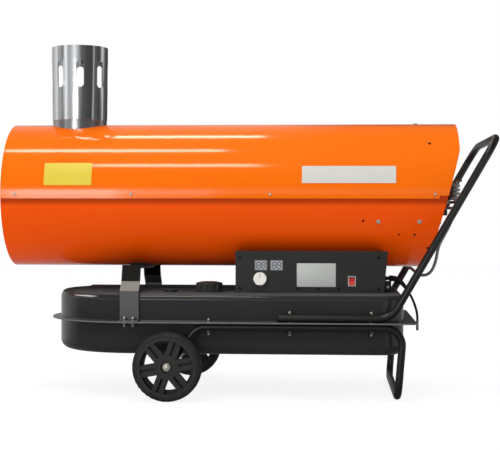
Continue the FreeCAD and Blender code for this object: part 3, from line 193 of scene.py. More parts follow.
# two tones in clouds of toneMm, roughness and relief in grains of grainMm, edges rounded by edgeMm
def makeFinish(name, base, toneMm, rough, grainMm, bumpMm, stretch=(1, 1, 1), metallic=0.0, ior=1.5, coat=0.0,
               coatRough=0.05, edgeMm=0.5, wearAndHighlight=None, clear=0.0, gleam=0.5, waveMm=0.0, waveLift=0.6,
               paintedLapShade=None):
    material = bpy.data.materials.new(name)
    material.use_nodes = True
    tree = material.node_tree
    tree.nodes.clear()
    place = addNode(tree, "ShaderNodeTexCoord")
    grid = addNode(tree, "ShaderNodeMapping", {"Scale": stretch}, {"Vector": place.outputs["Object"]})
    cloud = addNode(tree, "ShaderNodeTexNoise", {"Scale": 1000 / toneMm, "Detail": surface["cloudDetail"]},
                    {"Vector": grid.outputs[0]})
    grain = addNode(tree, "ShaderNodeTexNoise", {"Scale": 1000 / grainMm, "Detail": surface["grainDetail"]},
                    {"Vector": grid.outputs[0]})
    tone = addNode(tree, "ShaderNodeMix", {"data_type": "RGBA", 6: linear(base[0]), 7: linear(base[1])},
                   {0: cloud.outputs[0]})
    color = tone.outputs[2]
    # sharp edges catch a thin light; drawn tube has none
    if edgeMm:
        soft = addNode(tree, "ShaderNodeBevel", {"samples": surface["edgeSamples"], "Radius": edgeMm / 1000})
    else:
        soft = addNode(tree, "ShaderNodeNewGeometry")
    normal = soft.outputs["Normal"]
    if wearAndHighlight:
        # edges paler where the rounded normal leaves the true one: partly worn paint, partly a painted
        # highlight along edges
        wearHighlightColor, wearHighlightShare = wearAndHighlight
        flat = addNode(tree, "ShaderNodeNewGeometry")
        turn = addNode(tree, "ShaderNodeVectorMath", {"operation": "DOT_PRODUCT"},
                       {0: normal, 1: flat.outputs["Normal"]})
        edge = addNode(tree, "ShaderNodeMapRange",
                       {"From Min": surface["flatDot"], "From Max": surface["edgeDot"], "To Max": wearHighlightShare},
                       {0: turn.outputs["Value"]})
        wearHighlightMask = addNode(tree, "ShaderNodeMath", {"operation": "MULTIPLY"},
                         {0: edge.outputs[0], 1: cloud.outputs[0]})
        mix = addNode(tree, "ShaderNodeMix", {"data_type": "RGBA", 7: linear(wearHighlightColor)},
                      {0: wearHighlightMask.outputs[0], 6: color})
        color = mix.outputs[2]
    if paintedLapShade:
        # painted shade under the lap: darker from one height up to another
        lowMm, highMm, lapShadeColor, lapShadeShare = paintedLapShade
        rise = addNode(tree, "ShaderNodeSeparateXYZ", {}, {0: place.outputs["Object"]})
        shade = addNode(tree, "ShaderNodeMapRange",
                        {"From Min": lowMm / 1000, "From Max": highMm / 1000, "To Max": lapShadeShare},
                        {0: rise.outputs[2]})
        lapShaded = addNode(tree, "ShaderNodeMix", {"data_type": "RGBA", 7: linear(lapShadeColor)},
                        {0: shade.outputs[0], 6: color})
        color = lapShaded.outputs[2]
    if waveMm:
        # thin sheet is never quite flat: slow waves bend its reflections
        swell = addNode(tree, "ShaderNodeTexNoise",
                        {"Scale": 1000 / waveMm, "Detail": surface["swellDetail"]},
                        {"Vector": grid.outputs[0]})
        waves = addNode(tree, "ShaderNodeBump", {"Strength": 1.0, "Distance": waveLift / 1000},
                        {"Height": swell.outputs[0], "Normal": normal})
        normal = waves.outputs[0]
    gloss = addNode(tree, "ShaderNodeMapRange", {"To Min": rough[0], "To Max": rough[1]},
                    {0: grain.outputs[0]})
    relief = addNode(tree, "ShaderNodeBump", {"Strength": surface["relief"], "Distance": bumpMm / 1000},
                     {"Height": grain.outputs[0], "Normal": normal})
    shader = addNode(tree, "ShaderNodeBsdfPrincipled",
                     {"Metallic": metallic, "IOR": ior, "Coat Weight": coat, "Coat Roughness": coatRough,
                      "Transmission Weight": clear, "Specular IOR Level": gleam},
                     {"Base Color": color, "Roughness": gloss.outputs[0], "Normal": relief.outputs[0]})
    addNode(tree, "ShaderNodeOutputMaterial", {}, {"Surface": shader.outputs[0]})
    return material


# one finish for each material slot of the record
finishes = {
    # stoved orange enamel on sheet steel: deep colour, hard gloss, and an orange peel drawn coarse to show
    "orange_paint": ("stovedOrangeEnamel", dict(
        base=("f06a02", "f47004"), toneMm=160, rough=(0.30, 0.40), grainMm=6.0, bumpMm=0.02, coat=0.9,
        coatRough=0.085, edgeMm=0.6, wearAndHighlight=("f0a060", 0.5), gleam=0.03)),
    # gloss black enamel on pressed steel: near-black, its reflections bent a little by the pressing, its
    # edges pale grey with wear and a painted highlight
    "black_enamel": ("stovedBlackEnamel", dict(
        base=("282829", "2f2f30"), toneMm=120, rough=(0.26, 0.34), grainMm=14.0, bumpMm=0.005, coat=0.8,
        coatRough=0.09, edgeMm=1.2, wearAndHighlight=("8a8a8c", 0.8), gleam=0.06, waveMm=90, waveLift=0.4)),
    # satin charcoal paint on the flat panel: no mirror, faint grain
    "panel_paint": ("charcoalPanelPaint", dict(
        base=("1f2021", "262728"), toneMm=60, rough=(0.42, 0.55), grainMm=1.2, bumpMm=0.03, edgeMm=0.5,
        wearAndHighlight=("6a6b6d", 0.6))),
    # satin black powder coat: fine sandy grain, soft light
    "black_powder": ("blackPowderCoat", dict(
        base=("1e1e1f", "262627"), toneMm=80, rough=(0.36, 0.48), grainMm=1.6, bumpMm=0.05, edgeMm=0.5,
        wearAndHighlight=("505052", 0.6))),
    # black lacquer on drawn tube: satin, with long soft highlights
    "frame_paint": ("blackTubeLacquer", dict(
        base=("141517", "1b1c1e"), toneMm=90, rough=(0.34, 0.42), grainMm=8.0, bumpMm=0.004, coat=0.2,
        coatRough=0.12, edgeMm=0, gleam=0.6)),
    # zinc plated fasteners: bright, with a faintly yellow cloudy film
    "zinc_steel": ("zincPlatedSteel", dict(
        base=("d8d4c8", "eae6da"), toneMm=9, rough=(0.24, 0.38), grainMm=1.2, bumpMm=0.02, metallic=0.65,
        edgeMm=0.3)),
    # polished stainless tube: mirror with a trace of lengthways polishing lines
    "flue_chrome": ("polishedStainless", dict(
        base=("e0e2e4", "eceef0"), toneMm=60, rough=(0.05, 0.12), grainMm=1.5, bumpMm=0.01,
        stretch=(1, 1, 0.06), metallic=1.0, edgeMm=0.4, waveMm=16, waveLift=0.9)),
    # mill finish stainless: greyer, drawn round the ring
    "spigot_steel": ("millStainless", dict(
        base=("b8babc", "c8c9ca"), toneMm=30, rough=(0.22, 0.34), grainMm=1.5, bumpMm=0.02, stretch=(1, 1, 4),
        metallic=1.0, edgeMm=0.4)),
    # heat resisting sheet that has run hot: grey with straw patches
    "heat_steel": ("heatTintedSteel", dict(
        base=("7c7a77", "93857a"), toneMm=45, rough=(0.35, 0.55), grainMm=2.0, bumpMm=0.04, metallic=1.0,
        edgeMm=0.5)),
    # turned brass: warm yellow metal with tool marks
    "nozzle_brass": ("turnedBrass", dict(
        base=("b89248", "c9a45c"), toneMm=12, rough=(0.2, 0.35), grainMm=0.8, bumpMm=0.02, stretch=(6, 1, 1),
        metallic=1.0, edgeMm=0.3)),
    # glazed white ceramic: clean gloss, slightly warm
    "electrode_ceramic": ("glazedCeramic", dict(
        base=("e6e2d8", "efece4"), toneMm=25, rough=(0.12, 0.2), grainMm=4.0, bumpMm=0.01, edgeMm=0.3)),
    # annealed copper tube: dull pinkish metal, browned in places
    "fuel_line_copper": ("annealedCopper", dict(
        base=("a4663f", "c07c52"), toneMm=20, rough=(0.3, 0.45), grainMm=2.0, bumpMm=0.02, metallic=1.0,
        edgeMm=0.2)),
    # sprayed grey motor paint: dull, with a coarse grain and lighter edges
    "motor_paint": ("greyMotorPaint", dict(
        base=("3a3d40", "45484b"), toneMm=50, rough=(0.35, 0.5), grainMm=2.5, bumpMm=0.05, edgeMm=0.6,
        wearAndHighlight=("8a8c8e", 0.5))),
    # die-cast aluminium: pale satin with a cast skin
    "cast_alloy": ("dieCastAluminium", dict(
        base=("a9abad", "babcbe"), toneMm=25, rough=(0.4, 0.55), grainMm=1.8, bumpMm=0.05, metallic=1.0,
        edgeMm=0.5)),
    # ground bright steel: clear reflections, a little broken
    "ground_steel": ("groundBrightSteel", dict(
        base=("a8aaac", "bcbec0"), toneMm=18, rough=(0.18, 0.3), grainMm=0.8, bumpMm=0.015, metallic=1.0,
        edgeMm=0.3)),
    # moulded black nylon cap: satin with a fine spark-eroded grain
    "cap_plastic": ("blackNylon", dict(
        base=("1c1c1d", "262627"), toneMm=20, rough=(0.34, 0.48), grainMm=1.0, bumpMm=0.04, ior=1.53,
        edgeMm=0.6, wearAndHighlight=("3a3a3b", 0.6))),
    # nitrile rubber: dull black with a dusty bloom
    "seal_rubber": ("nitrileRubber", dict(
        base=("121212", "1e1e1d"), toneMm=15, rough=(0.6, 0.8), grainMm=1.2, bumpMm=0.05, edgeMm=0.4)),
    # moulded black polyamide: satin black with lighter edges
    "gauge_plastic": ("blackPolyamide", dict(
        base=("141415", "1d1d1e"), toneMm=18, rough=(0.35, 0.5), grainMm=1.0, bumpMm=0.03, ior=1.53,
        edgeMm=0.5, wearAndHighlight=("444446", 0.5))),
    # foamed nitrile of the float: pale, chalky
    "float_plastic": ("foamedNitrile", dict(
        base=("cfc9b6", "dad5c4"), toneMm=10, rough=(0.7, 0.85), grainMm=1.0, bumpMm=0.08, edgeMm=0.5)),
    # red acetal drum of the gauge: even colour, soft gloss
    "pointer_red": ("redAcetal", dict(
        base=("b8160f", "c81d14"), toneMm=6, rough=(0.3, 0.4), grainMm=1.0, bumpMm=0.01, edgeMm=0.2)),
    # clear acrylic: water-clear window
    "clear_lens": ("clearAcrylic", dict(
        base=("eef1f1", "f6f8f8"), toneMm=20, rough=(0.02, 0.05), grainMm=5.0, bumpMm=0.005, ior=1.49,
        clear=1.0, edgeMm=0.3)),
    # grey ABS display frame: even satin with lighter edges
    "display_plastic": ("greyAbs", dict(
        base=("6f7174", "7d7f82"), toneMm=14, rough=(0.35, 0.45), grainMm=0.9, bumpMm=0.02, edgeMm=0.4,
        wearAndHighlight=("a4a6a8", 0.5))),
    # solder mask on the circuit board: dark green lacquer
    "board_green": ("solderMask", dict(
        base=("12552c", "176334"), toneMm=8, rough=(0.25, 0.35), grainMm=1.5, bumpMm=0.02, edgeMm=0.2)),
    # cast potting resin: dull black, a little uneven
    "transformer_resin": ("pottingResin", dict(
        base=("161618", "202022"), toneMm=15, rough=(0.4, 0.55), grainMm=1.5, bumpMm=0.04, edgeMm=0.5)),
    # white ABS knob: clean satin
    "knob_white": ("whiteAbs", dict(
        base=("dcdcd8", "e6e6e2"), toneMm=10, rough=(0.28, 0.36), grainMm=0.9, bumpMm=0.015, edgeMm=0.5)),
    # pale grey nylon switch frame: warm grey, satin
    "switch_grey": ("paleGreyNylon", dict(
        base=("a09c98", "aeaaa6"), toneMm=9, rough=(0.35, 0.45), grainMm=0.8, bumpMm=0.02, edgeMm=0.3)),
    # red polycarbonate rocker: strong gloss
    "rocker_red": ("redPolycarbonate", dict(
        base=("c42a20", "d2382c"), toneMm=8, rough=(0.12, 0.2), grainMm=1.5, bumpMm=0.01, ior=1.58, coat=0.3,
        edgeMm=0.5)),
    # moulded polypropylene wheel: dark grey, waxy
    "wheel_plastic": ("mouldedPolypropylene", dict(
        base=("1d1d1e", "292929"), toneMm=25, rough=(0.34, 0.46), grainMm=1.4, bumpMm=0.04, edgeMm=0.9,
        wearAndHighlight=("48484a", 0.6))),
    # solid tyre compound: matt black, its edges pale with dust and with a painted highlight
    "tyre_rubber": ("tyreCompound", dict(
        base=("1b1c1e", "252628"), toneMm=30, rough=(0.6, 0.8), grainMm=1.5, bumpMm=0.08, edgeMm=0.8,
        wearAndHighlight=("a0a4a8", 0.9))),
    # grey PVC mains jacket: soft sheen, slightly dusty
    "cord_jacket": ("greyPvcJacket", dict(
        base=("77787a", "868789"), toneMm=22, rough=(0.38, 0.5), grainMm=1.2, bumpMm=0.03, edgeMm=0.2)),
    # black PVC lead: soft sheen
    "lead_jacket": ("blackPvcJacket", dict(
        base=("141415", "1c1c1d"), toneMm=16, rough=(0.35, 0.48), grainMm=1.2, bumpMm=0.03, edgeMm=0.2)),
    # moulded black plug rubber: matt, faintly grained
    "plug_rubber": ("blackPlugRubber", dict(
        base=("121213", "1b1b1c"), toneMm=14, rough=(0.45, 0.6), grainMm=1.0, bumpMm=0.05, edgeMm=0.6)),
    # nickel plated probe tip: warm pale metal, clear reflections
    "probe_metal": ("nickelPlate", dict(
        base=("c4c3bd", "d2d1cb"), toneMm=8, rough=(0.18, 0.28), grainMm=0.8, bumpMm=0.01, metallic=1.0,
        edgeMm=0.3)),
}
materials = {slot: makeFinish(name, **spec) for slot, (name, spec) in finishes.items()}

# finishes of single pieces and of some faces
extras = {
    # bare anodised aluminium plate: pale, brushed along its length
    "plate": ("anodisedPlate", dict(
        base=("b8bdbd", "c4c8c8"), toneMm=14, rough=(0.42, 0.55), grainMm=0.6, bumpMm=0.01,
        stretch=(0.05, 1, 1), metallic=0.25, edgeMm=0.2)),
    # plain white and yellow vinyl film: flat colour, soft gloss
    "whiteFilm": ("whiteVinyl", dict(
        base=("c8c8c6", "d0d0cd"), toneMm=50, rough=(0.3, 0.4), grainMm=2.0, bumpMm=0.01, edgeMm=0.1)),
    "yellowFilm": ("yellowVinyl", dict(
        base=("d8c236", "dfca40"), toneMm=50, rough=(0.3, 0.4), grainMm=2.0, bumpMm=0.01, edgeMm=0.1)),
    # the lower half's enamel: as the upper half's, with painted shade: deeper in tone, and darker under the
    # lap
    "shadedLowerCasing": ("shadedOrangeEnamel", dict(
        finishes["orange_paint"][1], base=("ee5000", "f25601"), wearAndHighlight=("c04c10", 0.5),
        paintedLapShade=(405, 415, "7a1a00", 0.62))),
    # painted steel strap: satin, dark grey where the light falls on it
    "strap": ("satinStrapPaint", dict(
        base=("3e3e40", "4a4a4c"), toneMm=50, rough=(0.30, 0.40), grainMm=5.0, bumpMm=0.01, gleam=0.8,
        edgeMm=0.8, wearAndHighlight=("808082", 0.6))),
    # the same paint lighter on the strap's bend: painted light where the bend faces up
    "strapLitBend": ("strapPaintLitBend", dict(
        base=("5e6163", "6c6f71"), toneMm=20, rough=(0.30, 0.40), grainMm=5.0, bumpMm=0.01, gleam=0.8,
        edgeMm=0.8)),
    # and near-black above it: painted shade where the barrel shades it
    "strapShadeAbove": ("strapPaintShadedAbove", dict(
        base=("0b0b0c", "111112"), toneMm=50, rough=(0.40, 0.50), grainMm=5.0, bumpMm=0.01, gleam=0.2,
        edgeMm=0.8)),
    # pressed tank top: a paler satin copy of the enamel that mirrors nothing sharply, painted light on faces
    # that face up
    "tankTopLit": ("litTopEnamel", dict(
        base=("404245", "4c4e51"), toneMm=70, rough=(0.50, 0.62), grainMm=3.0, bumpMm=0.02, gleam=0.0,
        edgeMm=1.2, wearAndHighlight=("8a8c8e", 0.7))),
    # the rim's edge: paler enamel, a painted highlight along the rim
    "tankRimHighlight": ("highlightRimEnamel", dict(
        base=("5c5e60", "6a6c6e"), toneMm=40, rough=(0.28, 0.38), grainMm=4.0, bumpMm=0.01, gleam=0.6,
        edgeMm=0.6)),
    # bright plated bolts: dark mirror with a small hard light
    "bolt": ("brightPlatedBolt", dict(
        base=("9c9ea0", "b0b2b3"), toneMm=7, rough=(0.14, 0.22), grainMm=1.2, bumpMm=0.01, metallic=1.0,
        edgeMm=0.6)),
    # blackened screw heads: dark, oily gloss
    "blackScrew": ("blackOxideSteel", dict(
        base=("101011", "18181a"), toneMm=5, rough=(0.3, 0.42), grainMm=0.8, bumpMm=0.01, metallic=0.6,
        edgeMm=0.3)),
    # pale display glass: clear gloss
    "displayGlass": ("displayGlass", dict(
        base=("a8afb8", "b4bac2"), toneMm=9, rough=(0.08, 0.16), grainMm=3.0, bumpMm=0.01, edgeMm=0.2)),
    # printed bars of unlit digits: dark, half dull
    "displayInk": ("displayInk", dict(
        base=("1c1d24", "24252d"), toneMm=4, rough=(0.25, 0.35), grainMm=1.0, bumpMm=0.01, edgeMm=0.1)),
    # white paint on the gauge's drum: clean satin
    "drumWhite": ("whiteDrumPaint", dict(
        base=("d4d4d0", "dededa"), toneMm=6, rough=(0.35, 0.45), grainMm=1.0, bumpMm=0.01, edgeMm=0.2)),
}
materials.update({use: makeFinish(name, **spec) for use, (name, spec) in extras.items()})

for part in frame["record"]["subparts"]:
    mesh = nodes[part["node"]].data
    mesh.materials.clear()
    mesh.materials.append(materials[part["material_slot"]])
nodes["lower_casing"].data.materials[0] = materials["shadedLowerCasing"]
nodes["frame_bolts"].data.materials[0] = materials["bolt"]

# painted shade on the strap above its bend, and painted light on the bend itself, where faces lean
strapFaces = {"topAbove": 241.5, "lean": (0.25, 0.95)}   # a lean is the upward part of a face's normal
strap = nodes["saddle_bracket"].data
strap.materials[0] = materials["strap"]
strap.materials.append(materials["strapShadeAbove"])
strap.materials.append(materials["strapLitBend"])
leanLeast, leanMost = strapFaces["lean"]
for face in strap.polygons:
    if face.center.z > strapFaces["topAbove"] / 1000:
        face.material_index = 1
    elif leanLeast < face.normal.z < leanMost:
        face.material_index = 2

# painted light on the tank where it faces up, and a painted highlight on the rim's edge, where its two halves
# meet
tankFaces = {"topAbove": 190.0, "topLean": 0.7, "rimHalf": 3.0, "rimLean": 0.5}
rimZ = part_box("tank_upper_shell")[0][2]
for name in ("tank_upper_shell", "tank_lower_shell"):
    tank = nodes[name].data
    tank.materials.append(materials["tankTopLit"])
    tank.materials.append(materials["tankRimHighlight"])
    for face in tank.polygons:
        up = face.normal.z
        if face.center.z > tankFaces["topAbove"] / 1000 and up > tankFaces["topLean"]:
            face.material_index = 1
        elif abs(face.center.z - rimZ) < tankFaces["rimHalf"] / 1000 and abs(up) < tankFaces["rimLean"]:
            face.material_index = 2

# the gauge's drum is red under the lens on a dry tank, and its white half comes up as the float rises
drumFaces = {"whiteFrom": 32.0}   # degrees from upright towards the float's arm
drum = nodes["gauge_pointer"].data
drum.materials.append(materials["drumWhite"])
low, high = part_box("gauge_pointer")
pinX, pinZ = (low[0] + high[0]) / 2, (low[2] + high[2]) / 2
whiteMiddle = math.radians(drumFaces["whiteFrom"] + 90)
for face in drum.polygons:
    across, up = pinX - face.center.x, face.center.z - pinZ
    if across * math.sin(whiteMiddle) + up * math.cos(whiteMiddle) > 0:
        face.material_index = 1

# the panel's own screws are black, and the casing's, which are higher, bright
screwFaces = {"blackBelow": 320.0}
screws = nodes["housing_screws"].data
screws.materials.append(materials["blackScrew"])
for face in screws.polygons:
    if face.center.z < screwFaces["blackBelow"] / 1000:
        face.material_index = 1
mainsCord.data.materials.append(materials["cord_jacket"])
sensorLead.data.materials.append(materials["lead_jacket"])
leadBoot.data.materials.append(materials["lead_jacket"])
print("materials made:", len(bpy.data.materials))


# new pieces
def finishPiece(name, shape, material, body, sharpDegrees=35):
    bmesh.ops.remove_doubles(shape, verts=shape.verts, dist=1e-6)
    bmesh.ops.recalc_face_normals(shape, faces=shape.faces)
    mesh = bpy.data.meshes.new(name)
    shape.to_mesh(mesh)
    shape.free()
    mesh.materials.append(material)
    mesh.polygons.foreach_set("use_smooth", [True] * len(mesh.polygons))
    mesh.set_sharp_from_angle(angle=math.radians(sharpDegrees))
    piece = bpy.data.objects.new(name, mesh)
    scene.collection.objects.link(piece)
    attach(piece, body)


def addBlock(shape, low, high, rounding=0.0):
    low, high = mm(*low), mm(*high)
    made = bmesh.ops.create_cube(shape, size=1.0)["verts"]
    bmesh.ops.scale(shape, vec=high - low, verts=made)
    bmesh.ops.translate(shape, vec=(low + high) / 2, verts=made)
    if rounding > 0:
        edges = list({edge for vert in made for edge in vert.link_edges})
        bmesh.ops.bevel(shape, geom=edges, offset=rounding / 1000, affect="EDGES", segments=2, profile=0.5,
                        material=-1)


def blockPiece(name, spec, material, body):
    shape = bmesh.new()
    addBlock(shape, spec["low"], spec["high"], spec["rounding"])
    finishPiece(name, shape, material, body)


def addDome(shape, place, axis, r, rise):
    made = bmesh.ops.create_uvsphere(shape, u_segments=20, v_segments=10, radius=1.0)["verts"]
    bmesh.ops.scale(shape, vec=mm(r, r, rise), verts=made)
    faces = list({face for vert in made for face in vert.link_faces})
    edges = list({edge for vert in made for edge in vert.link_edges})
    cut = bmesh.ops.bisect_plane(shape, geom=made + edges + faces, plane_co=(0, 0, 0), plane_no=(0, 0, 1),
                                 clear_inner=True)
    rim = [edge for edge in cut["geom_cut"] if isinstance(edge, bmesh.types.BMEdge)]
    bmesh.ops.contextual_create(shape, geom=rim)
    left = [item for item in cut["geom"] if item.is_valid and isinstance(item, bmesh.types.BMVert)]
    turn = Vector((0, 0, 1)).rotation_difference(Vector(axis)).to_matrix().to_4x4()
    bmesh.ops.transform(shape, matrix=Matrix.Translation(mm(*place)) @ turn, verts=left)


def domePiece(name, seats, rise, material):
    shape = bmesh.new()
    for place, axis, r in seats:
        addDome(shape, place, axis, r, rise)
    finishPiece(name, shape, material, "heater")


barrelZ = 430.0   # height of the barrel's axis

# bare film on the barrel, wrapped round the casing: from and to along X, then in degrees above the axis
barrelFilm = {"r": 158.05, "thick": 0.25, "steps": 12,
              "white": (116.5, 314.0, 8.6, 22.3), "yellow": (-434.6, -332.0, 7.0, 25.0)}


def wrapFilm(name, span, material):
    x0, x1, low, high = span
    shape = bmesh.new()
    corner = [shape.verts.new(mm(x, 0, barrelFilm["r"])) for x in (x0, x1)]
    edge = shape.edges.new(corner)
    start = Matrix.Rotation(math.radians(90 - low), 4, "X")
    bmesh.ops.transform(shape, matrix=start, verts=shape.verts)
    bmesh.ops.spin(shape, geom=corner + [edge], cent=(0, 0, 0), axis=(-1, 0, 0),
                   angle=math.radians(high - low), steps=barrelFilm["steps"])
    bmesh.ops.translate(shape, vec=mm(0, 0, barrelZ), verts=shape.verts)
    bmesh.ops.recalc_face_normals(shape, faces=shape.faces)
    bmesh.ops.solidify(shape, geom=shape.faces[:], thickness=-barrelFilm["thick"] / 1000)
    finishPiece(name, shape, material, "heater")


wrapFilm("whiteFilm", barrelFilm["white"], materials["whiteFilm"])
wrapFilm("yellowFilm", barrelFilm["yellow"], materials["yellowFilm"])

# bare plate on the panel
panelPlate = {"low": (106.0, -150.45, 234.6), "high": (188.0, -150.02, 284.4), "rounding": 0.18}
blockPiece("barePlate", panelPlate, materials["plate"], "heater")
print("plates done")


# straight out of the barrel's wall, at degrees below the axis
def barrelOut(side, degrees):
    a = math.radians(degrees)
    return Vector((0, side * math.cos(a), -math.sin(a)))


# raised crowns on the casing's screws, both sides and the top
casingCrowns = {"seamX": (-496.5, -246.5, 49.5, 395.5), "seamY": 160.0, "seamR": 2.9,
                "lowX": (277.5, 363.5), "lowDegrees": 21.4, "lowOut": 158.5, "lowR": 4.3,
                "top": (363.5, 0.0, 590.0), "rise": 1.0}
seats = []
for side in (-1, 1):
    for x in casingCrowns["seamX"]:
        seats.append(((x, side * casingCrowns["seamY"], barrelZ), (0, side, 0), casingCrowns["seamR"]))
    out = barrelOut(side, casingCrowns["lowDegrees"])
    for x in casingCrowns["lowX"]:
        seats.append((Vector((x, 0, barrelZ)) + out * casingCrowns["lowOut"], out, casingCrowns["lowR"]))
seats.append((casingCrowns["top"], (0, 0, 1), casingCrowns["lowR"]))
domePiece("casingScrewCrowns", seats, casingCrowns["rise"], materials["zinc_steel"])

# black plugs in the two rearmost holes of the casing, both sides: X, degrees below the axis, way out
casingPlugs = {"places": ((386.5, -43.6, 157.7), (383.5, 46.5, 156.0)), "r": 3.5, "rise": 1.4}
seats = []
for side in (-1, 1):
    for x, degrees, away in casingPlugs["places"]:
        out = barrelOut(side, degrees)
        seats.append((Vector((x, 0, barrelZ)) + out * away, out, casingPlugs["r"]))
domePiece("casingPlugs", seats, casingPlugs["rise"], materials["blackScrew"])

# crowns on the panel's black screws: X and Z
panelCrowns = {"places": ((-15, 231), (-15, 297), (277.5, 231), (277.5, 297), (107.5, 231), (151, 231),
                          (194.5, 231)),
               "y": -151.4, "r": 2.5, "rise": 0.6}
seats = [((x, panelCrowns["y"], z), (0, -1, 0), panelCrowns["r"]) for x, z in panelCrowns["places"]]
domePiece("panelScrewCrowns", seats, panelCrowns["rise"], materials["blackScrew"])

# rivets that hold the panel's plate
plateRivets = {"x": (109.5, 184.5), "z": (238.1, 280.9), "y": -150.43, "r": 1.6, "rise": 0.7}
seats = []
for x in plateRivets["x"]:
    for z in plateRivets["z"]:
        seats.append(((x, plateRivets["y"], z), (0, -1, 0), plateRivets["r"]))
domePiece("plateRivets", seats, plateRivets["rise"], materials["zinc_steel"])

# domed ends of the wheel nuts
capNuts = {"x": -159.5, "y": 243.7, "z": 72.0, "r": 6.4, "rise": 2.2}
seats = [((capNuts["x"], side * capNuts["y"], capNuts["z"]), (0, side, 0), capNuts["r"]) for side in (-1, 1)]
domePiece("wheelNutDomes", seats, capNuts["rise"], materials["zinc_steel"])

# threaded ends that stand out of the frame's and the strap's bolts, below and above
boltEnds = {"frameX": (92.5, 261.5), "frontX": -77.5, "frameY": 191.0, "frameZ": (137.9, 182.6),
            "frontZ": 166.6, "strapX": (-254.5, -236.5), "strapY": 193.8, "strapZ": (153.9, 169.1),
            "sink": 0.1, "r": 2.6, "rise": 3.4}
bolts = [(x, boltEnds["frameY"], boltEnds["frameZ"]) for x in boltEnds["frameX"]]
bolts.append((boltEnds["frontX"], boltEnds["frameY"], (boltEnds["frameZ"][0], boltEnds["frontZ"])))
bolts += [(x, boltEnds["strapY"], boltEnds["strapZ"]) for x in boltEnds["strapX"]]
seats = []
for side in (-1, 1):
    for x, y, (low, high) in bolts:
        seats.append(((x, side * y, low + boltEnds["sink"]), (0, 0, -1), boltEnds["r"]))
        seats.append(((x, side * y, high - boltEnds["sink"]), (0, 0, 1), boltEnds["r"]))
domePiece("boltEnds", seats, boltEnds["rise"], materials["zinc_steel"])

# plastic plugs in the handle's open tube ends
tubePlugs = {"x": 68.5, "y": 191.0, "z": 170.5, "r": 7.7, "rise": 3.0}
seats = []
for side in (-1, 1):
    seats.append(((tubePlugs["x"], side * tubePlugs["y"], tubePlugs["z"]), (-1, 0, 0), tubePlugs["r"]))
domePiece("handleTubePlugs", seats, tubePlugs["rise"], materials["gauge_plastic"])

# two-digit displays: pale glass with all the bars of unlit digits
displays = {"x": (30.0, 63.0), "z": 280.0, "glass": (22.4, 17.4), "glassY": (-150.45, -150.3),
            "inkY": (-150.55, -150.42), "digit": (7.4, 12.4), "pitch": 10.4, "bar": 1.9, "lean": 0.10,
            "shorten": 0.7}   # a bar is shorter than its side of the digit by this share of its width


def addDigit(shape, x, z, spec):
    w, h = spec["digit"]
    bar = spec["bar"]
    gap = bar * spec["shorten"]
    bars = [(0, k * h / 2, w - gap, bar) for k in (-1, 0, 1)]
    bars += [(i * w / 2, k * h / 4, bar, h / 2 - gap) for i in (-1, 1) for k in (-1, 1)]
    for across, up, wide, tall in bars:
        middle = x + across + spec["lean"] * up
        addBlock(shape, (middle - wide / 2, spec["inkY"][0], z + up - tall / 2),
                 (middle + wide / 2, spec["inkY"][1], z + up + tall / 2))


glass, ink = bmesh.new(), bmesh.new()
for x in displays["x"]:
    w, h = displays["glass"]
    addBlock(glass, (x - w / 2, displays["glassY"][0], displays["z"] - h / 2),
             (x + w / 2, displays["glassY"][1], displays["z"] + h / 2))
    for side in (-0.5, 0.5):
        addDigit(ink, x + side * displays["pitch"], displays["z"], displays)
finishPiece("displayWindows", glass, materials["displayGlass"], "heater")
finishPiece("displayDigits", ink, materials["displayInk"], "heater")

# pointer line on the knob's face
knobLine = {"low": (27.7, -165.75, 254.0), "high": (29.3, -165.5, 263.2), "rounding": 0.1}
blockPiece("knobLine", knobLine, materials["switch_grey"], "knob")

# tab that ties the box to the tank at its rear corner, with its screw
boxTab = {"low": (289.6, -121.5, 222.1), "high": (306.0, -119.9, 247.0), "rounding": 0.5,
          "screw": (298.0, -121.5, 233.5), "screwR": 3.6, "rise": 1.8}
blockPiece("boxTab", boxTab, materials["black_powder"], "heater")
seats = [(boxTab["screw"], (0, -1, 0), boxTab["screwR"])]
domePiece("boxTabScrew", seats, boxTab["rise"], materials["zinc_steel"])
print("fittings done")


# floor: white to the camera with a soft shadow, and a level of its own in reflections
floorSpec = {
    "half": 9.0, "drop": 0.0005, "paint": "e8e8e8", "white": 0.88, "shadow": 0.15,
    # metal sees a dark floor towards the camera and a pale one to the right, far to the left and behind
    "mirror": 0.06, "mirrorPale": 0.5,
    "pale": ((0, 0.6, 1.6), (0, -4.0, -5.0), (1, -0.2, 0.8)),   # axis, metres where it starts and is full
}


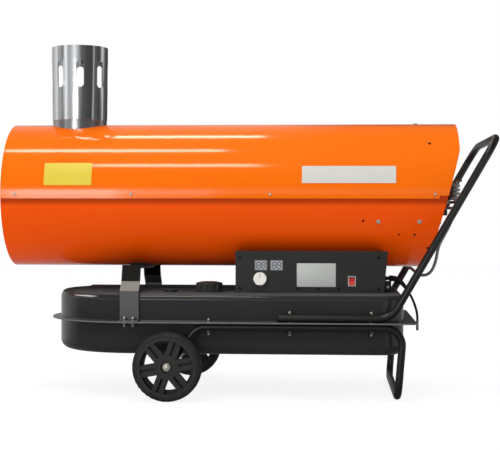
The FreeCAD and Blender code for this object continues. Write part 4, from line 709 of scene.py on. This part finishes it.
def buildFloor(spec):
    shape = bmesh.new()
    bmesh.ops.create_grid(shape, x_segments=1, y_segments=1, size=spec["half"])
    mesh = bpy.data.meshes.new("floor")
    shape.to_mesh(mesh)
    shape.free()
    floor = bpy.data.objects.new("floor", mesh)
    floor.location.z = -spec["drop"]
    scene.collection.objects.link(floor)
    material = bpy.data.materials.new("paleFloor")
    material.use_nodes = True
    tree = material.node_tree
    tree.nodes.clear()
    path = addNode(tree, "ShaderNodeLightPath")
    seen = addNode(tree, "ShaderNodeMath", {"operation": "MAXIMUM"},
                   {0: path.outputs["Is Camera Ray"], 1: path.outputs["Is Transmission Ray"]})
    paint = addNode(tree, "ShaderNodeBsdfDiffuse", {"Color": linear(spec["paint"])})
    grey = spec["shadow"]
    dim = addNode(tree, "ShaderNodeBsdfDiffuse", {"Color": (grey, grey, grey, 1)})
    glow = addNode(tree, "ShaderNodeEmission", {"Color": (1, 1, 1, 1), "Strength": spec["white"]})
    both = addNode(tree, "ShaderNodeAddShader", {}, {0: glow.outputs[0], 1: dim.outputs[0]})
    place = addNode(tree, "ShaderNodeTexCoord")
    axes = addNode(tree, "ShaderNodeSeparateXYZ", {}, {0: place.outputs["Object"]})
    pale = None
    for axis, start, full in spec["pale"]:
        side = addNode(tree, "ShaderNodeMapRange", {"From Min": start, "From Max": full},
                       {0: axes.outputs[axis]})
        if pale:
            side = addNode(tree, "ShaderNodeMath", {"operation": "MAXIMUM"},
                           {0: pale.outputs[0], 1: side.outputs[0]})
        pale = side
    level = addNode(tree, "ShaderNodeMapRange", {"To Min": spec["mirror"], "To Max": spec["mirrorPale"]},
                    {0: pale.outputs[0]})
    mirror = addNode(tree, "ShaderNodeEmission", {"Color": (1, 1, 1, 1)}, {"Strength": level.outputs[0]})
    glossy = addNode(tree, "ShaderNodeMixShader", {},
                     {0: path.outputs["Is Glossy Ray"], 1: paint.outputs[0], 2: mirror.outputs[0]})
    pick = addNode(tree, "ShaderNodeMixShader", {},
                   {0: seen.outputs[0], 1: glossy.outputs[0], 2: both.outputs[0]})
    addNode(tree, "ShaderNodeOutputMaterial", {}, {"Surface": pick.outputs[0]})
    mesh.materials.append(material)


# world: plain light for the paint, and for reflections a dim room with a backdrop and a ring of bars
dimRoom, backdropLevel = 0.05, 0.5
worldSpec = {
    "sky": 0.75,
    # steps along a direction's axis: axis, where it starts and ends, level before and after
    "steps": {
        "barFoot": (2, 0.0, 0.05, 0.0, 1.0), "barHead": (2, 0.15, 0.22, 1.0, 0.0),
        "backdropFoot": (2, 0.10, 0.28, dimRoom, backdropLevel), "ebbRight": (0, -0.05, 0.02, 1.0, 0.2),
        "leftWing": (0, -0.17, -0.25, 0.0, backdropLevel), "rear": (1, 0.35, 0.80, 0.0, 1.0),
    },
    # what polished metal sees round the horizon: degrees from the camera's side towards +X, brightness
    "cameraSide": 0.25,   # place of that side in the radial gradient
    "horizon": (
        (-140, 0.34), (-102, 0.80), (-82, 0.42), (-64, 0.22), (-51, 1.15), (-36, 0.42), (-23, 0.60),
        (-10, 1.10), (2, 0.50), (14, 0.14), (28, 0.10), (54, 0.05), (62, 0.08), (67, 0.50), (74, 0.12),
        (97, 0.05), (108, 0.16), (117, 0.80), (128, 0.12), (160, 0.05), (-156, 0.05),
    ),
}


def buildWorld(spec):
    world = bpy.data.worlds.new("studio")
    world.use_nodes = True
    tree = world.node_tree
    tree.nodes.clear()
    path = addNode(tree, "ShaderNodeLightPath")
    look = addNode(tree, "ShaderNodeTexCoord")
    axes = addNode(tree, "ShaderNodeSeparateXYZ", {}, {0: look.outputs["Generated"]})
    around = addNode(tree, "ShaderNodeTexGradient", {"gradient_type": "RADIAL"},
                     {0: look.outputs["Generated"]})
    ramp = addNode(tree, "ShaderNodeValToRGB", {}, {0: around.outputs["Fac"]})
    stops = sorted(((spec["cameraSide"] + degrees / 360) % 1.0, level) for degrees, level in spec["horizon"])
    while len(ramp.color_ramp.elements) < len(stops):
        ramp.color_ramp.elements.new(0.5)
    for element, (place, level) in zip(ramp.color_ramp.elements, stops):
        element.position = place
        element.color = (level, level, level, 1)
    step = {}
    for key, (axis, start, end, before, after) in spec["steps"].items():
        span = {"From Min": start, "From Max": end, "To Min": before, "To Max": after}
        step[key] = addNode(tree, "ShaderNodeMapRange", span, {0: axes.outputs[axis]}).outputs[0]
    times, most = {"operation": "MULTIPLY"}, {"operation": "MAXIMUM"}
    band = addNode(tree, "ShaderNodeMath", times, {0: step["barFoot"], 1: step["barHead"]})
    bars = addNode(tree, "ShaderNodeMath", times, {0: band.outputs[0], 1: ramp.outputs[0]})
    above = addNode(tree, "ShaderNodeMath", times, {0: step["backdropFoot"], 1: step["ebbRight"]})
    pale = addNode(tree, "ShaderNodeMath", most, {0: above.outputs[0], 1: step["leftWing"]})
    backdrop = addNode(tree, "ShaderNodeMix", {"data_type": "FLOAT", 2: dimRoom},
                       {0: step["rear"], 3: pale.outputs[0]})
    mirror = addNode(tree, "ShaderNodeMath", most, {0: bars.outputs[0], 1: backdrop.outputs[0]})
    seen = addNode(tree, "ShaderNodeMath", most,
                   {0: path.outputs["Is Camera Ray"], 1: path.outputs["Is Transmission Ray"]})
    soft = addNode(tree, "ShaderNodeMapRange", {"To Min": spec["sky"], "To Max": 1.0}, {0: seen.outputs[0]})
    level = addNode(tree, "ShaderNodeMix", {"data_type": "FLOAT"},
                    {0: path.outputs["Is Glossy Ray"], 2: soft.outputs[0], 3: mirror.outputs[0]})
    back = addNode(tree, "ShaderNodeBackground", {"Color": (1, 1, 1, 1)}, {"Strength": level.outputs[0]})
    addNode(tree, "ShaderNodeOutputWorld", {}, {"Surface": back.outputs[0]})
    scene.world = world


buildFloor(floorSpec)
buildWorld(worldSpec)

# lamps: degrees left of the camera and up as seen from the barrel, metres away, middle along X, size, watts
lamps = {
    "stripFront": dict(left=0, up=47, away=2.6, x=-0.48, width=0.22, length=0.74, watts=6.5),
    "stripFrontCore": dict(left=0, up=47, away=2.6, x=-0.52, width=0.16, length=0.44, watts=3.4),
    "stripHigh": dict(left=0, up=74, away=2.6, x=-0.72, width=0.24, length=0.92, watts=9.5),
    "stripHighCore": dict(left=0, up=74, away=2.6, x=-0.88, width=0.18, length=0.50, watts=5.4),
    "stripRear": dict(left=0, up=106, away=2.6, x=-0.50, width=0.30, length=0.80, watts=9.0),
    "stripRearCore": dict(left=0, up=106, away=2.6, x=-0.52, width=0.22, length=0.50, watts=3.6),
    "sidePanel": dict(left=19, up=3, away=3.0, x=0.0, width=0.6, length=0.5, watts=5.0),
    "sideWash": dict(left=15, up=3, away=3.0, x=0.0, width=0.6, length=0.9, watts=2.6),
    "noseGlint": dict(left=86, up=26, away=2.2, x=-0.35, width=0.7, length=1.6, watts=36.0),
    "topPanel": dict(left=0, up=64, away=3.2, x=0.4, width=2.0, length=3.4, watts=14),
}
lampTint = {"strip": (1.0, 0.93, 0.76), "plain": (1.0, 1.0, 1.0)}   # the strips are a little warmer
glintNodes = ("tank_upper_shell", "tank_lower_shell", "filler_cap")


def addLamp(name, spec):
    up, left = math.radians(spec["up"]), math.radians(spec["left"])
    aim = Vector((spec["x"], 0, barrelZ / 1000))
    toward = Vector((-math.sin(left) * math.cos(up), -math.cos(left) * math.cos(up), math.sin(up)))
    data = bpy.data.lights.new(name, "AREA")
    data.shape = "RECTANGLE"
    data.size = spec["length"]
    data.size_y = spec["width"]
    data.energy = spec["watts"]
    data.color = lampTint["strip" if name.startswith("strip") else "plain"]
    lamp = bpy.data.objects.new(name, data)
    lamp.location = aim + toward * spec["away"]
    lamp.rotation_euler = (-toward).to_track_quat("-Z", "Y").to_euler()
    lamp.visible_camera = False
    scene.collection.objects.link(lamp)
    return lamp


lit = {name: addLamp(name, spec) for name, spec in lamps.items()}
# a glint along the tank's edges and no more: the lamp is screened from everything else
lit["noseGlint"].visible_diffuse = False
screened = bpy.data.collections.new("glintOnTank")
for name in glintNodes:
    screened.objects.link(nodes[name])
lit["noseGlint"].light_linking.receiver_collection = screened
lit["topPanel"].visible_glossy = False   # soft fill only: the bands on the paint come from the strips
print("stage lit")
